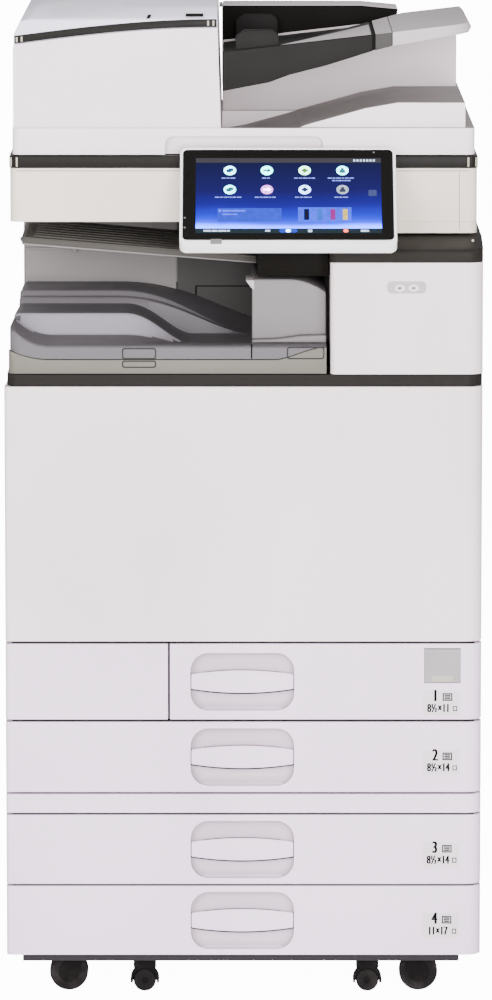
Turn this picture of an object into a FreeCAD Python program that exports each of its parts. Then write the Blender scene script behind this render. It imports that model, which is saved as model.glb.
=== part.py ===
"""Floor-standing colour photocopier with document feeder, touch panel and four paper drawers.

Millimetres. +Z is up, the front faces -Y, +X is to the right of a person standing in front.
The origin is on the floor, under the middle of the machine's overall box.
Each function builds one piece and main() writes every piece to parts/NAME.step.
"""

import FreeCAD, Part
import math
import os

V = FreeCAD.Vector

# ---------------------------------------------------------------- driving dimensions
WIDTH = 587.0                # over the right front corner and the left side of the door
BODY_DEPTH = 595.0           # front plane of door and drawers to the rear cover
PANEL_REACH = 67.5           # operation panel's lower edge in front of the front plane
REAR_BOX = 22.5              # controller box behind the rear cover

FLOOR_GAP = 50.0             # floor to the paper bank's underside
REVEAL = 2.5                 # visible gap between neighbouring fronts of the bank
MAIN_REVEAL = 3.0            # the same in the main unit
BANK_DRAWER_H = 87.0
BANK_STRIP_H = 23.5
DRAWER_2_H = 88.0
DRAWER_1_H = 94.5
DOOR_H = 316.0
TRIM_H = 14.0
UPPER_GAP = 181.0            # waist trim to the scanner's underside
SCANNER_H = 66.6
SCANNER_DROP = 13.6          # right end of the scanner hangs lower by this
SCANNER_DROP_W = 103.5
TOP_FRAME_H = 15.0
FEEDER_BASE_H = 32.7
SCANNER_SET_BACK = 70.0      # scanner's front behind the front plane
SCANNER_D = 523.0

WALL = 3.0                   # moulded covers
SHEET = 2.0                  # folded steel
COVER = 2.5                  # side and rear cover thickness
DRAWER_T = 26.0              # thickness of the drawer fronts, the door and the lower-left cover
CORNER_R = 18.0              # front right vertical corner
CORNER_L = 6.0               # front left vertical corner
EDGE = 1.0                   # softened front edges

RUN = 0.05                   # radial clearance of a shaft in its bore
REST_GAP = 0.3               # gap under a piece that rests or slides
SIDE_GAP = 3.0               # drawer case to frame, each side

# ---------------------------------------------------------------- derived levels and planes
HALF = WIDTH / 2
SIDE = HALF                  # door and drawer fronts, half width
FRONT = -(PANEL_REACH + BODY_DEPTH + REAR_BOX) / 2 + PANEL_REACH
REAR = FRONT + BODY_DEPTH

D4_Z = FLOOR_GAP + REVEAL
D3_Z = D4_Z + BANK_DRAWER_H + REVEAL
STRIP_Z = D3_Z + BANK_DRAWER_H + REVEAL
BANK_TOP = STRIP_Z + BANK_STRIP_H
D2_Z = BANK_TOP + REVEAL
D1_Z = D2_Z + DRAWER_2_H + MAIN_REVEAL
DOOR_Z = D1_Z + DRAWER_1_H + MAIN_REVEAL
TRIM_Z = DOOR_Z + DOOR_H + 1.0
UPPER_Z = TRIM_Z + TRIM_H
SCANNER_Z = UPPER_Z + UPPER_GAP
SCANNER_TOP = SCANNER_Z + SCANNER_H
FRAME_TOP = SCANNER_TOP + TOP_FRAME_H
FEEDER_Z = FRAME_TOP + 1.2
FEEDER_BASE_TOP = FEEDER_Z + FEEDER_BASE_H
SCANNER_FRONT = FRONT + SCANNER_SET_BACK
SCANNER_REAR = SCANNER_FRONT + SCANNER_D

# ---------------------------------------------------------------- sub-assembly dimensions
FRAME_HALF = HALF - 8.5      # outside of the steel frame
FRAME_FRONT = FRONT + 50.0
FRAME_REAR = REAR - 2.5
COVER_OUT = HALF - 1.5       # outside of the side covers
COVER_FRONT = FRONT + DRAWER_T + 1.5

RIGHT_BLOCK_W = 187.0        # white block to the right of the paper exit
RIGHT_BLOCK_H = 137.4
RIGHT_BLOCK_D = 110.0
CAP_FRONT_H = 15.7
CAP_RISE = 11.0
CAP_SLOPE_D = 69.0
EXIT_W = 91.2
EXIT_H = 88.0
EXIT_GAP = 4.9
PANEL_STRIP_H = 18.0         # strip under the output tray
TRAY_FLAT_Z = 78.0           # output tray's high left part above the waist trim
TRAY_LOW_Z = 23.0
TRAY_LIP_H = 35.0
BACK_WALL_Y = FRONT + 372.0
UPPER_TRAY_D = 247.0
UPPER_TRAY_RISE = 153.0
UPPER_TRAY_T = 4.0
UPPER_TRAY_SLOPE = 4.6       # degrees, falling to the right

HANDLE_W = 128.0
HANDLE_H = 72.0
HANDLE_D = 18.0
HANDLE_X = -1.5
HANDLE_R = 22.0
GRIP_H = 28.0
GRIP_BULGE = 5.0
GRIP_T = 8.0
SPLIT_X = -92.0              # seam between the lower-left cover and drawer 1
CASE_H = 62.0
CASE_T = 2.5
CASE_LIFT = 7.0              # case floor above the front's lower edge
CASE_D = 518.0
CASE_INSET = 28.0            # drawer case narrower than its front, each side
CASE_1_W = 300.0
CASE_1_X0 = SPLIT_X + 9.0    # drawer 1's case starts here
RAIL_1_W = 17.0              # rails under drawer 1's case

FLAP_W = 45.0
FLAP_H = 44.0
FLAP_T = 3.0
FLAP_X = 245.0
FLAP_DROP = 5.0
FLAP_PIN_R = 1.5
SWITCH_W = 20.0
SWITCH_H = 26.0
SWITCH_TRAVEL = 3.0

DOOR_PIVOT_IN = 8.0          # door hinge behind the door's face
DOOR_PIVOT_UP = 13.0
DOOR_SWING_R = 18.5          # lower rear corner of the door, about the hinge
HINGE_PIN_R = 3.0
HINGE_IN = 8.0               # hinge plates inside the frame's outer face
EAR_T = 6.0

GLASS_W = 440.0
GLASS_D = 310.0
GLASS_T = 4.0
SLIT_W = 14.0
CARRIAGE_H = 18.0
CARRIAGE_D = 380.0
RAIL_H = 24.0

PANEL_W = 264.0
PANEL_L = 160.0
PANEL_T = 15.0
PANEL_X = 54.3
PANEL_Z = 943.2              # lower front edge of the panel
PANEL_LEAN = 47.3            # degrees back from upright
PANEL_GLASS_T = 3.0
PANEL_LIP = 8.5              # white edge under the glass
PANEL_RIM = 3.5
PANEL_PIVOT_BACK = 31.0
ARM_W = 30.0
PANEL_PIN_R = 4.0

ADF_INSET = 9.0              # feeder narrower than the machine, each side
ADF_PIVOT_Y = 258.0
ADF_PIVOT_UP = 7.0
ADF_D = 453.0
FEEDER_W = 255.0             # closed feeder body
FEEDER_LEFT_H = 103.0        # feeder body above its base at the left end
FEEDER_RIGHT_H = 123.5
FEEDER_TOP = 148.5
DOC_D = 338.0                # document table, front to back
DOC_RISE = 35.5
DOC_RIM = 7.0
DOC_WIDE = 297.0             # between the document fences when wide open
FENCE_T = 12.0
ROLLER_R = 14.0

OUTER_WHEEL_R = 24.0
OUTER_WHEEL_W = 20.0
OUTER_CASTER_X = 217.5
OUTER_CASTER_Y = FRONT + 47.0
INNER_WHEEL_R = 14.0
INNER_WHEEL_W = 18.0
INNER_CASTERS_X = (-123.0, 154.0)
INNER_CASTER_Y = FRONT + 39.5
REAR_CASTER_Y = REAR - 60.0
AXLE_R = 4.0
TRAIL = 16.0


# ---------------------------------------------------------------- helpers
def box(x0, x1, y0, y1, z0, z1):
    """Block between two corners."""
    return Part.makeBox(x1 - x0, y1 - y0, z1 - z0, V(x0, y0, z0))


def rod(start, axis, radius, length):
    """Cylinder from a point along an axis."""
    return Part.makeCylinder(radius, length, V(*start), V(*axis))


def prism_xz(points, y0, y1):
    """Outline of (x, z) points, extruded from y0 to y1."""
    wire = Part.makePolygon([V(x, y0, z) for x, z in points + points[:1]])
    return Part.Face(wire).extrude(V(0, y1 - y0, 0))


def prism_yz(points, x0, x1):
    """Outline of (y, z) points, extruded from x0 to x1."""
    wire = Part.makePolygon([V(x0, y, z) for y, z in points + points[:1]])
    return Part.Face(wire).extrude(V(x1 - x0, 0, 0))


def prism_xy(points, z0, z1):
    """Outline of (x, y) points, extruded from z0 to z1."""
    wire = Part.makePolygon([V(x, y, z0) for x, y in points + points[:1]])
    return Part.Face(wire).extrude(V(0, 0, z1 - z0))


def corner_arc(centre, radius, start, end, place):
    """Quarter-circle edge; place turns (a, b) into a vector."""
    angles = [math.radians(start), math.radians((start + end) / 2), math.radians(end)]
    points = [place(centre[0] + radius * math.cos(t), centre[1] + radius * math.sin(t)) for t in angles]
    return Part.Arc(*points).toShape()


def front_rounded(x0, x1, y0, y1, z0, z1, left, right):
    """Block whose two front vertical corners are rounded."""
    def at(x, y):
        return V(x, y, z0)
    edges = [
        Part.makeLine(at(x0 + left, y0), at(x1 - right, y0)),
        corner_arc((x1 - right, y0 + right), right, -90, 0, at),
        Part.makeLine(at(x1, y0 + right), at(x1, y1)),
        Part.makeLine(at(x1, y1), at(x0, y1)),
        Part.makeLine(at(x0, y1), at(x0, y0 + left)),
        corner_arc((x0 + left, y0 + left), left, 180, 270, at),
    ]
    return Part.Face(Part.Wire(edges)).extrude(V(0, 0, z1 - z0))


def rounded_window(x0, x1, z0, z1, radius, y0, y1):
    """Block with four rounded corners as seen from the front."""
    def at(x, z):
        return V(x, y0, z)
    edges = [
        Part.makeLine(at(x0 + radius, z0), at(x1 - radius, z0)),
        corner_arc((x1 - radius, z0 + radius), radius, -90, 0, at),
        Part.makeLine(at(x1, z0 + radius), at(x1, z1 - radius)),
        corner_arc((x1 - radius, z1 - radius), radius, 0, 90, at),
        Part.makeLine(at(x1 - radius, z1), at(x0 + radius, z1)),
        corner_arc((x0 + radius, z1 - radius), radius, 90, 180, at),
        Part.makeLine(at(x0, z1 - radius), at(x0, z0 + radius)),
        corner_arc((x0 + radius, z0 + radius), radius, 180, 270, at),
    ]
    return Part.Face(Part.Wire(edges)).extrude(V(0, y1 - y0, 0))


def soften_front(shape, y_front, radius=EDGE):
    """Round the edges that lie in the front face."""
    edges = [e for e in shape.Edges
             if abs(e.BoundBox.YMin - y_front) < 1e-6 and abs(e.BoundBox.YMax - y_front) < 1e-6
             and e.BoundBox.ZLength < 1e-6]
    return shape.makeFillet(radius, edges)


def fuse(shapes):
    """One shape from several that touch or overlap."""
    return shapes[0].multiFuse(shapes[1:]).removeSplitter()


def mirror_x(shape):
    """The same shape on the other side of the machine."""
    return shape.mirror(V(0, 0, 0), V(1, 0, 0))


def turn_x(shape, degrees, pivot_y, pivot_z):
    """The shape turned about a line along X."""
    turned = shape.copy()
    turned.rotate(V(0, pivot_y, pivot_z), V(1, 0, 0), degrees)
    return turned


# ---------------------------------------------------------------- frame and outer covers
def around(sheet, window):
    """Straight-edged lengths of a sheet on every side of a window that cuts it."""
    if sheet.common(window).Volume < 1e-3:
        return [sheet]
    w = window.BoundBox
    far = 2 * BODY_DEPTH + FEEDER_Z
    regions = [
        box(-far, far, -far, w.YMin, -far, far),
        box(-far, far, w.YMax, far, -far, far),
        box(-far, far, w.YMin, w.YMax, -far, w.ZMin),
        box(-far, far, w.YMin, w.YMax, w.ZMax, far),
        box(-far, w.XMin, w.YMin, w.YMax, w.ZMin, w.ZMax),
    ]
    return [solid for region in regions for solid in sheet.common(region).Solids]


def welded(sheets):
    """Sheets that meet face to face: each is cut back where an earlier one already is."""
    solids = []
    for sheet in sheets:
        for earlier in solids:
            if sheet.BoundBox.intersect(earlier.BoundBox):
                sheet = sheet.cut(earlier)
        solids += sheet.Solids
    return Part.makeCompound(solids)


def main_frame():
    """Spot-welded steel sheets of the main unit with drawer rails, rear column and hinge pins."""
    f = FRAME_HALF
    y0 = FRAME_FRONT
    y1 = FRAME_REAR
    x_block = HALF - RIGHT_BLOCK_W + WALL
    deck = DOOR_Z - SHEET
    column_y = BACK_WALL_Y + 3.0
    step_x = HALF - 6.0 - SCANNER_DROP_W
    post = CASE_1_X0 + CASE_1_W + SIDE_GAP
    low_top = SCANNER_Z - SCANNER_DROP
    plates = [
        box(-f, f, y0, y1, BANK_TOP + 1.0, BANK_TOP + 1.0 + SHEET),
        box(-f, -f + SHEET, y0, y1, BANK_TOP + 1.0, UPPER_Z - 1.0),
        box(f - SHEET, f, y0, y1, BANK_TOP + 1.0, UPPER_Z - 1.0),
        box(-f, f, y1 - SHEET, y1, BANK_TOP + 1.0, UPPER_Z - 1.0),
        box(-f, f, y0, y1, deck, deck + SHEET),
        box(-f, f, y0, y1, UPPER_Z - 1.0 - SHEET, UPPER_Z - 1.0),
        box(SPLIT_X + 1.0, SPLIT_X + 1.0 + SHEET, y0, y1, D1_Z - SHEET, deck),
        box(-f, SPLIT_X + 1.0 + SHEET, y0, y1, D1_Z - SHEET, D1_Z),
        box(-f + 8, x_block + SHEET, column_y, column_y + SHEET, UPPER_Z - 1.0, SCANNER_Z),
        box(-f + 8, -f + 8 + SHEET, column_y, y1, UPPER_Z - 1.0, SCANNER_Z),
        box(-f + 8, step_x, column_y, y1, SCANNER_Z - SHEET, SCANNER_Z),
        box(-f + 8, step_x, y1 - SHEET, y1, UPPER_Z - 1.0, SCANNER_Z),
        box(x_block, x_block + SHEET, FRONT + RIGHT_BLOCK_D, column_y + SHEET, UPPER_Z - 1.0, low_top - 32),
        box(f - SHEET, f, FRONT + RIGHT_BLOCK_D, y1, UPPER_Z - 1.0, low_top - 32),
        box(x_block, f, FRONT + RIGHT_BLOCK_D, column_y + SHEET, low_top - 32 - SHEET, low_top - 32),
        box(step_x, f, column_y, y1, low_top - SHEET, low_top),
        box(step_x, f, y1 - SHEET, y1, UPPER_Z - 1.0, low_top),
        box(f - SHEET, f, column_y, y1, low_top - 34, low_top),
        box(step_x - SHEET, step_x, column_y, y1, low_top - 2 * SHEET, SCANNER_Z),
    ]
    for z in (D2_Z, D1_Z):
        level = z + CASE_LIFT - REST_GAP
        right = f - SHEET if z == D2_Z else post
        left = -f + SHEET if z == D2_Z else SPLIT_X + 1.0 + SHEET
        width = CASE_INSET if z == D2_Z else RAIL_1_W
        for x0, x1 in ((left, left + width), (right - width, right)):
            plates.append(box(x0, x1, y0, y1 - 4, level - SHEET, level))
    plates.append(box(post, post + SHEET, y0, y1, D1_Z + CASE_LIFT - REST_GAP - SHEET, deck))
    plates.append(box(-f, f, y0, y0 + SHEET, D1_Z - SHEET - 8, D1_Z - SHEET + SHEET))
    window = box(COVER_OUT - DOOR_R_T - 1.0, f + SHEET, y0 + 40, y1 - 120, D2_Z + 112, TRIM_Z - 30)
    sheets = [part for plate in plates for part in around(plate, window)]
    return welded(sheets + door_hinges() + right_door_pins() + [switch_box()])


def door_hinges():
    """Two plates with a pin each that carry the front door."""
    pivot_y = FRONT + DOOR_PIVOT_IN
    pivot_z = DOOR_Z + DOOR_PIVOT_UP
    x0 = FRAME_HALF - HINGE_IN
    plate = box(x0, x0 + 3, pivot_y, FRAME_FRONT + 10, pivot_z - 3, pivot_z + 6)
    foot = box(x0, FRAME_HALF - SHEET, FRAME_FRONT, FRAME_FRONT + 10, pivot_z - 3, pivot_z + 6)
    end = rod((x0, pivot_y, pivot_z), (1, 0, 0), HINGE_PIN_R + 1.0, 3)
    pin = rod((x0 - EAR_T - 4, pivot_y, pivot_z), (1, 0, 0), HINGE_PIN_R, EAR_T + 6)
    right = fuse([plate, foot, end, pin])
    return [right, mirror_x(right)]


def left_cover():
    """Flat left side cover of the main unit."""
    return box(-COVER_OUT, -COVER_OUT + COVER, COVER_FRONT, REAR - COVER, D2_Z, TRIM_Z - 0.5)


def right_cover():
    """Right side cover around the paper-path door, and its upper part beside the paper exit."""
    lower = box(COVER_OUT - COVER, COVER_OUT, COVER_FRONT, REAR - COVER, D2_Z, TRIM_Z - 0.5)
    opening = box(COVER_OUT - 2 * COVER, COVER_OUT + COVER,
                  DOOR_R_Y0 - 1.5, DOOR_R_Y1 + 1.5, DOOR_R_Z0 - 2.5, DOOR_R_Z1 + 1.5)
    low_top = SCANNER_Z - SCANNER_DROP
    upper = box(COVER_OUT - COVER, COVER_OUT, FRONT + RIGHT_BLOCK_D + 1.5, BACK_WALL_Y, UPPER_Z + 0.5, low_top - 31)
    behind = box(COVER_OUT - COVER, COVER_OUT, BACK_WALL_Y, REAR - COVER, UPPER_Z + 0.5, low_top - 1)
    return Part.makeCompound([lower.cut(opening), fuse([upper, behind])])


def rear_cover():
    """Rear cover, lower sheet and the narrower part behind the paper exit."""
    lower = box(-COVER_OUT, COVER_OUT, REAR - COVER, REAR, D2_Z, UPPER_Z - 1.0)
    upper = box(-FRAME_HALF + 5, COVER_OUT, REAR - COVER, REAR, UPPER_Z - 1.0, SCANNER_Z - SCANNER_DROP - 1)
    return fuse([lower, upper])


def waist_trim():
    """Dark band that runs around the machine between the door and the upper part."""
    z0 = TRIM_Z + 0.2
    z1 = UPPER_Z - 0.2
    band = front_rounded(-HALF + 3.5, HALF - 0.5, FRONT + 2, REAR - COVER - 0.5, z0, z1, 12, CORNER_R)
    inner = box(-FRAME_HALF - 1, FRAME_HALF + 1, FRAME_FRONT - 1, REAR, z0, z1)
    return band.cut(inner)


def right_front_cover():
    """White block to the right of the paper exit, a shell open at the back and the top."""
    x0 = HALF - RIGHT_BLOCK_W
    z0 = UPPER_Z + 0.3
    z1 = z0 + RIGHT_BLOCK_H
    y1 = FRONT + RIGHT_BLOCK_D
    shell = soften_front(front_rounded(x0, HALF, FRONT, y1, z0, z1, 8, CORNER_R), FRONT)
    inner = front_rounded(x0 + WALL, HALF - WALL, FRONT + WALL, y1 + 1, z0 + WALL, z1 + 1, 5, CORNER_R - WALL)
    return shell.cut(inner)


def right_top_cover():
    """Dark cap over the right block; its front slopes up under the scanner."""
    x0 = HALF - RIGHT_BLOCK_W - 1.0
    z0 = UPPER_Z + 0.3 + RIGHT_BLOCK_H
    z1 = z0 + CAP_FRONT_H
    top = z1 + CAP_RISE
    profile = [(FRONT, z0), (FRONT, z1 - 3), (FRONT + 3, z1), (FRONT + CAP_SLOPE_D, top),
               (BACK_WALL_Y, top), (BACK_WALL_Y, z0)]
    block = prism_yz(profile, x0, HALF)
    plan = front_rounded(x0, HALF, FRONT, BACK_WALL_Y, z0 - 1, top + 1, 8, CORNER_R)
    hollow = box(x0 + WALL, HALF - WALL, FRONT + CORNER_R, BACK_WALL_Y - WALL, z0 - 1, z1 - WALL)
    return block.common(plan).cut(hollow)


# ---------------------------------------------------------------- paper exit
def tray_outline(y, flat, low, bottom):
    """Closed outline of the output tray across the machine: high left part, S-curve, low right part."""
    left = -HALF + 12.5
    right = HALF - RIGHT_BLOCK_W - EXIT_GAP
    curve = Part.BezierCurve()
    curve.setPoles([V(-140, y, flat), V(-88, y, flat), V(-52, y, low), V(4, y, low)])
    edges = [
        Part.makeLine(V(-HALF + 5.5, y, bottom), V(left, y, flat)),
        Part.makeLine(V(left, y, flat), V(-140, y, flat)),
        curve.toShape(),
        Part.makeLine(V(4, y, low), V(right, y, low)),
        Part.makeLine(V(right, y, low), V(right, y, bottom)),
        Part.makeLine(V(right, y, bottom), V(-HALF + 5.5, y, bottom)),
    ]
    return Part.Wire(edges)


def output_tray():
    """Paper output tray: table at the back, scooped apron and a front lip."""
    bottom = UPPER_Z + PANEL_STRIP_H + 0.4
    flat = UPPER_Z + TRAY_FLAT_Z
    low = UPPER_Z + TRAY_LOW_Z
    lip = UPPER_Z + TRAY_LIP_H
    ridge_y = FRONT + 95
    foot_y = FRONT + 38
    right = HALF - RIGHT_BLOCK_W - EXIT_GAP
    table = Part.Face(tray_outline(ridge_y, flat, low, bottom)).extrude(V(0, BACK_WALL_Y - ridge_y, 0))
    apron = Part.makeLoft([tray_outline(ridge_y, flat, low, bottom),
                           tray_outline(foot_y, lip, low, bottom)], True, True)
    floor = box(-HALF + 5.5, right, FRONT + 3, foot_y, bottom, low)
    front = front_rounded(-HALF + 5.5, right, FRONT + 3, foot_y, bottom, lip, 14, 1)
    scoop = rounded_window(-HALF + 14, right + 20, low, lip + 30, 4, FRONT + 12, foot_y)
    hollow = box(-HALF + 20, right - 6, ridge_y + 6, BACK_WALL_Y - 6, bottom - 1, low - WALL)
    return fuse([table, apron, floor, front.cut(scoop)]).cut(hollow)


def upper_output_tray():
    """Thin tray above the main one, falling to the right."""
    z = UPPER_Z + UPPER_TRAY_RISE
    x0 = -HALF + 16.5
    x1 = HALF - RIGHT_BLOCK_W - EXIT_GAP - EXIT_W + 5.5
    drop = (x1 - x0) * math.tan(math.radians(UPPER_TRAY_SLOPE))
    profile = [(x0, z), (x0 + 6, z + UPPER_TRAY_T), (x1, z + UPPER_TRAY_T - drop), (x1, z - drop)]
    tray = prism_xz(profile, BACK_WALL_Y - UPPER_TRAY_D, BACK_WALL_Y)
    lip = [(x0, z - 1), (x0, z + UPPER_TRAY_T), (x1, z + UPPER_TRAY_T - drop), (x1, z - 3 - drop)]
    return fuse([tray, prism_xz(lip, BACK_WALL_Y - UPPER_TRAY_D, BACK_WALL_Y - UPPER_TRAY_D + 3)])


def cavity_back_wall():
    """Grey wall behind the output tray, with the left side of the rear column."""
    z0 = UPPER_Z
    x0 = -HALF + 12.5
    x1 = HALF - RIGHT_BLOCK_W + WALL - 0.5
    wall = box(x0, x1, BACK_WALL_Y, BACK_WALL_Y + WALL, z0, SCANNER_Z - 0.5)
    side = box(x0, x0 + 1.6, BACK_WALL_Y, REAR - COVER, z0, SCANNER_Z - 0.5)
    return fuse([wall, side])


def cavity_front_panel():
    """Strip under the output tray's lip."""
    right = HALF - RIGHT_BLOCK_W - EXIT_GAP
    z0 = UPPER_Z + 0.4
    body = front_rounded(-HALF + 4.5, right, FRONT + 3, FRONT + 38, z0, z0 + PANEL_STRIP_H - 0.4, 10, 1)
    return soften_front(body, FRONT + 3, 0.6)


def exit_unit():
    """Light tower with the paper exit, and the dark upper exit block above it."""
    x1 = HALF - RIGHT_BLOCK_W - EXIT_GAP
    x0 = x1 - EXIT_W
    z0 = UPPER_Z + TRAY_LOW_Z
    z1 = z0 + EXIT_H
    y0 = FRONT + 60
    outline = [(x0, z0), (x1, z0), (x1, z1 - 15), (x0 + 60, z1 - 1), (x0 + 52, z1), (x0 + 2, z1), (x0, z1 - 3)]
    tower = prism_xz(outline, y0, BACK_WALL_Y)
    inner = box(x0 + WALL, x1 - WALL, y0 + WALL, BACK_WALL_Y - WALL, z0 - 1, z1 - 20)
    slot = box(x0 - 1, x0 + WALL + 1, y0 + 30, BACK_WALL_Y - 20, z0 + 30, z0 + 42)
    block = box(x0 + 6, x1 + EXIT_GAP - 1.3, y0 + 55, BACK_WALL_Y, z1 + 4, z1 + 48)
    return Part.makeCompound([tower.cut(inner).cut(slot), block])


# ---------------------------------------------------------------- door, drawers, bank
def front_door():
    """Full-width door, a shell with softened front edges and two hinge ears near the bottom."""
    z0 = DOOR_Z
    z1 = DOOR_Z + DOOR_H
    y1 = FRONT + DRAWER_T
    shell = soften_front(front_rounded(-SIDE, SIDE, FRONT, y1, z0, z1, CORNER_L, CORNER_R), FRONT)
    inner = front_rounded(-SIDE + WALL, SIDE - WALL, FRONT + WALL, y1 + 1, z0 + WALL, z1 - WALL,
                          CORNER_L - WALL, CORNER_R - WALL)
    door = shell.cut(inner)
    pivot_y = FRONT + DOOR_PIVOT_IN
    pivot_z = z0 + DOOR_PIVOT_UP
    x1 = FRAME_HALF - HINGE_IN - 1.5
    ear = box(x1 - EAR_T, x1, FRONT + WALL, pivot_y + 6, pivot_z - 7, pivot_z + 7)
    ear = ear.cut(rod((x1 - 2 * EAR_T, pivot_y, pivot_z), (1, 0, 0), HINGE_PIN_R + RUN, 3 * EAR_T))
    notch = box(x1 + 0.5, x1 + 6, FRONT + WALL, y1 + 1, z0 - 1, z0 + WALL + 1)
    door = door.cut(notch).cut(mirror_x(notch))
    corner = box(-SIDE - 1, SIDE + 1, pivot_y, y1 + 1, z0 - 1, pivot_z)
    swing = rod((-SIDE - 2, pivot_y, pivot_z), (1, 0, 0), DOOR_SWING_R, WIDTH + 4)
    door = door.cut(corner.cut(swing))
    return fuse([door, ear, mirror_x(ear)])


def grip(centre_z):
    """Lens-shaped bar across a handle recess."""
    half = HANDLE_W / 2 - 1.0
    low = centre_z - GRIP_H / 2
    high = centre_z + GRIP_H / 2
    x0 = HANDLE_X - half
    x1 = HANDLE_X + half
    y0 = FRONT + 0.6

    def at(x, z):
        return V(x, y0, z)
    edges = [
        Part.Arc(at(x0, low + GRIP_BULGE), at(HANDLE_X, low), at(x1, low + GRIP_BULGE)).toShape(),
        Part.makeLine(at(x1, low + GRIP_BULGE), at(x1, high - GRIP_BULGE)),
        Part.Arc(at(x1, high - GRIP_BULGE), at(HANDLE_X, high), at(x0, high - GRIP_BULGE)).toShape(),
        Part.makeLine(at(x0, high - GRIP_BULGE), at(x0, low + GRIP_BULGE)),
    ]
    bar = Part.Face(Part.Wire(edges)).extrude(V(0, GRIP_T, 0))
    cheeks = [box(HANDLE_X + s * half - (3 if s > 0 else 0), HANDLE_X + s * half + (0 if s > 0 else 3),
                  y0, FRONT + HANDLE_D, low + GRIP_BULGE, high - GRIP_BULGE) for s in (-1, 1)]
    return fuse([bar] + cheeks)


def drawer_front(x0, z0, height, left_radius, extra_cut=None):
    """Drawer front with a handle recess, hollow to the left and right of it; the grip is its own solid."""
    z1 = z0 + height
    y1 = FRONT + DRAWER_T
    centre = z0 + height / 2
    shell = soften_front(front_rounded(x0, SIDE, FRONT, y1, z0, z1, left_radius, CORNER_R), FRONT)
    dish_half = HANDLE_W / 2
    dish = rounded_window(HANDLE_X - dish_half, HANDLE_X + dish_half, centre - HANDLE_H / 2,
                          centre + HANDLE_H / 2, HANDLE_R, FRONT - 1, FRONT + HANDLE_D)
    left = box(x0 + WALL + 3, HANDLE_X - dish_half - WALL, FRONT + WALL, y1 + 1, z0 + WALL, z1 - WALL)
    right = box(HANDLE_X + dish_half + WALL, SIDE - CORNER_R, FRONT + WALL, y1 + 1, z0 + WALL, z1 - WALL)
    if extra_cut is not None:
        right = right.cut(extra_cut[0])
        shell = shell.cut(extra_cut[1])
    front = shell.cut(dish)
    if HANDLE_X - dish_half - WALL - x0 > 30:
        front = front.cut(left)
    return Part.makeCompound([front.cut(right), grip(centre)])


def tray_1_front():
    """Upper drawer's front, with the opening and hinge boss of the power switch flap."""
    z1 = D1_Z + DRAWER_1_H - FLAP_DROP
    x0 = FLAP_X - FLAP_W / 2
    x1 = FLAP_X + FLAP_W / 2
    y1 = FRONT + DRAWER_T + 1
    rim = box(x0 - WALL, x1 + WALL, FRONT + WALL, y1, z1 - FLAP_H - WALL, z1 + WALL)
    seat = box(x0, x1, FRONT - 1, FRONT + 7.5, z1 - FLAP_H, z1)
    hole = box(x0 + 3, x1 - 3, FRONT, y1, z1 - FLAP_H + 3, z1 - 12)
    opening = fuse([seat, hole])
    pin_z = z1 - 3.5
    pins = [rod((x, FRONT + 3.6, pin_z), (1, 0, 0), FLAP_PIN_R, 3.0) for x in (x0 - 1, x1 - 2)]
    front = drawer_front(SPLIT_X + 1.2, D1_Z, DRAWER_1_H, 1.0, (rim, opening))
    body = fuse([front.Solids[0]] + pins)
    return Part.makeCompound([body] + front.Solids[1:])


def drawer_case(x0, x1, z0):
    """Open-topped paper case behind a drawer front, with raised side fences inside."""
    y0 = FRONT + DRAWER_T
    y1 = y0 + CASE_D
    outer = box(x0, x1, y0, y1, z0 + CASE_LIFT, z0 + CASE_LIFT + CASE_H)
    inner = box(x0 + CASE_T, x1 - CASE_T, y0 + CASE_T, y1 - CASE_T, z0 + CASE_LIFT + CASE_T, z0 + CASE_LIFT + CASE_H + 1)
    return outer.cut(inner)


def lower_left_cover():
    """Fixed front cover to the left of drawer 1."""
    x1 = SPLIT_X - 1.2
    z1 = D1_Z + DRAWER_1_H
    shell = soften_front(front_rounded(-SIDE, x1, FRONT, FRONT + DRAWER_T, D1_Z, z1, CORNER_L, 1.0), FRONT)
    inner = box(-SIDE + WALL + 3, x1 - WALL, FRONT + WALL, FRONT + DRAWER_T + 1, D1_Z + WALL, z1 - WALL)
    arms = [box(x, x + 4, FRONT + WALL, FRAME_FRONT + 20, D1_Z, D1_Z + 20) for x in (-SIDE + 20, x1 - 24)]
    return fuse([shell.cut(inner)] + arms)


def bank_housing():
    """Paper bank: sheet case with a front strip on top, drawer rails and caster plate."""
    y0 = FRAME_FRONT
    z0 = FLOOR_GAP
    s = COVER_OUT
    parts = [
        box(-s, s, FRONT + DRAWER_T + 2, REAR, z0, z0 + SHEET),
        box(-s, -s + COVER, COVER_FRONT + 6, REAR, z0, BANK_TOP - COVER),
        box(s - COVER, s, COVER_FRONT + 6, REAR, z0, BANK_TOP - COVER),
        box(-s, s, REAR - COVER, REAR, z0, BANK_TOP - COVER),
        box(-s, s, y0, REAR, BANK_TOP - COVER, BANK_TOP + 1.0),
    ]
    for z in (D4_Z, D3_Z):
        level = z + CASE_LIFT - REST_GAP
        for side in (-1, 1):
            x = side * (SIDE - CASE_INSET - 12)
            parts.append(box(min(x, side * (s - 1)), max(x, side * (s - 1)), y0, REAR - 4, level - SHEET, level))
    strip = front_rounded(-SIDE, SIDE, FRONT, FRAME_FRONT + 10, STRIP_Z, BANK_TOP, CORNER_L, CORNER_R)
    strip = soften_front(strip, FRONT)
    strip = strip.cut(box(-SIDE + 12, SIDE - CORNER_R, FRONT + WALL, FRAME_FRONT, STRIP_Z - 1, BANK_TOP - WALL))
    web = box(-SIDE + 20, SIDE - 27, FRONT + 12, FRONT + DRAWER_T + 4, z0 - 1.6, z0 + SHEET)
    lip = box(-SIDE + 20, SIDE - 27, FRONT + 12, FRONT + 15, z0 - 7, z0)
    return fuse(parts + [strip, web, lip])


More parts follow.
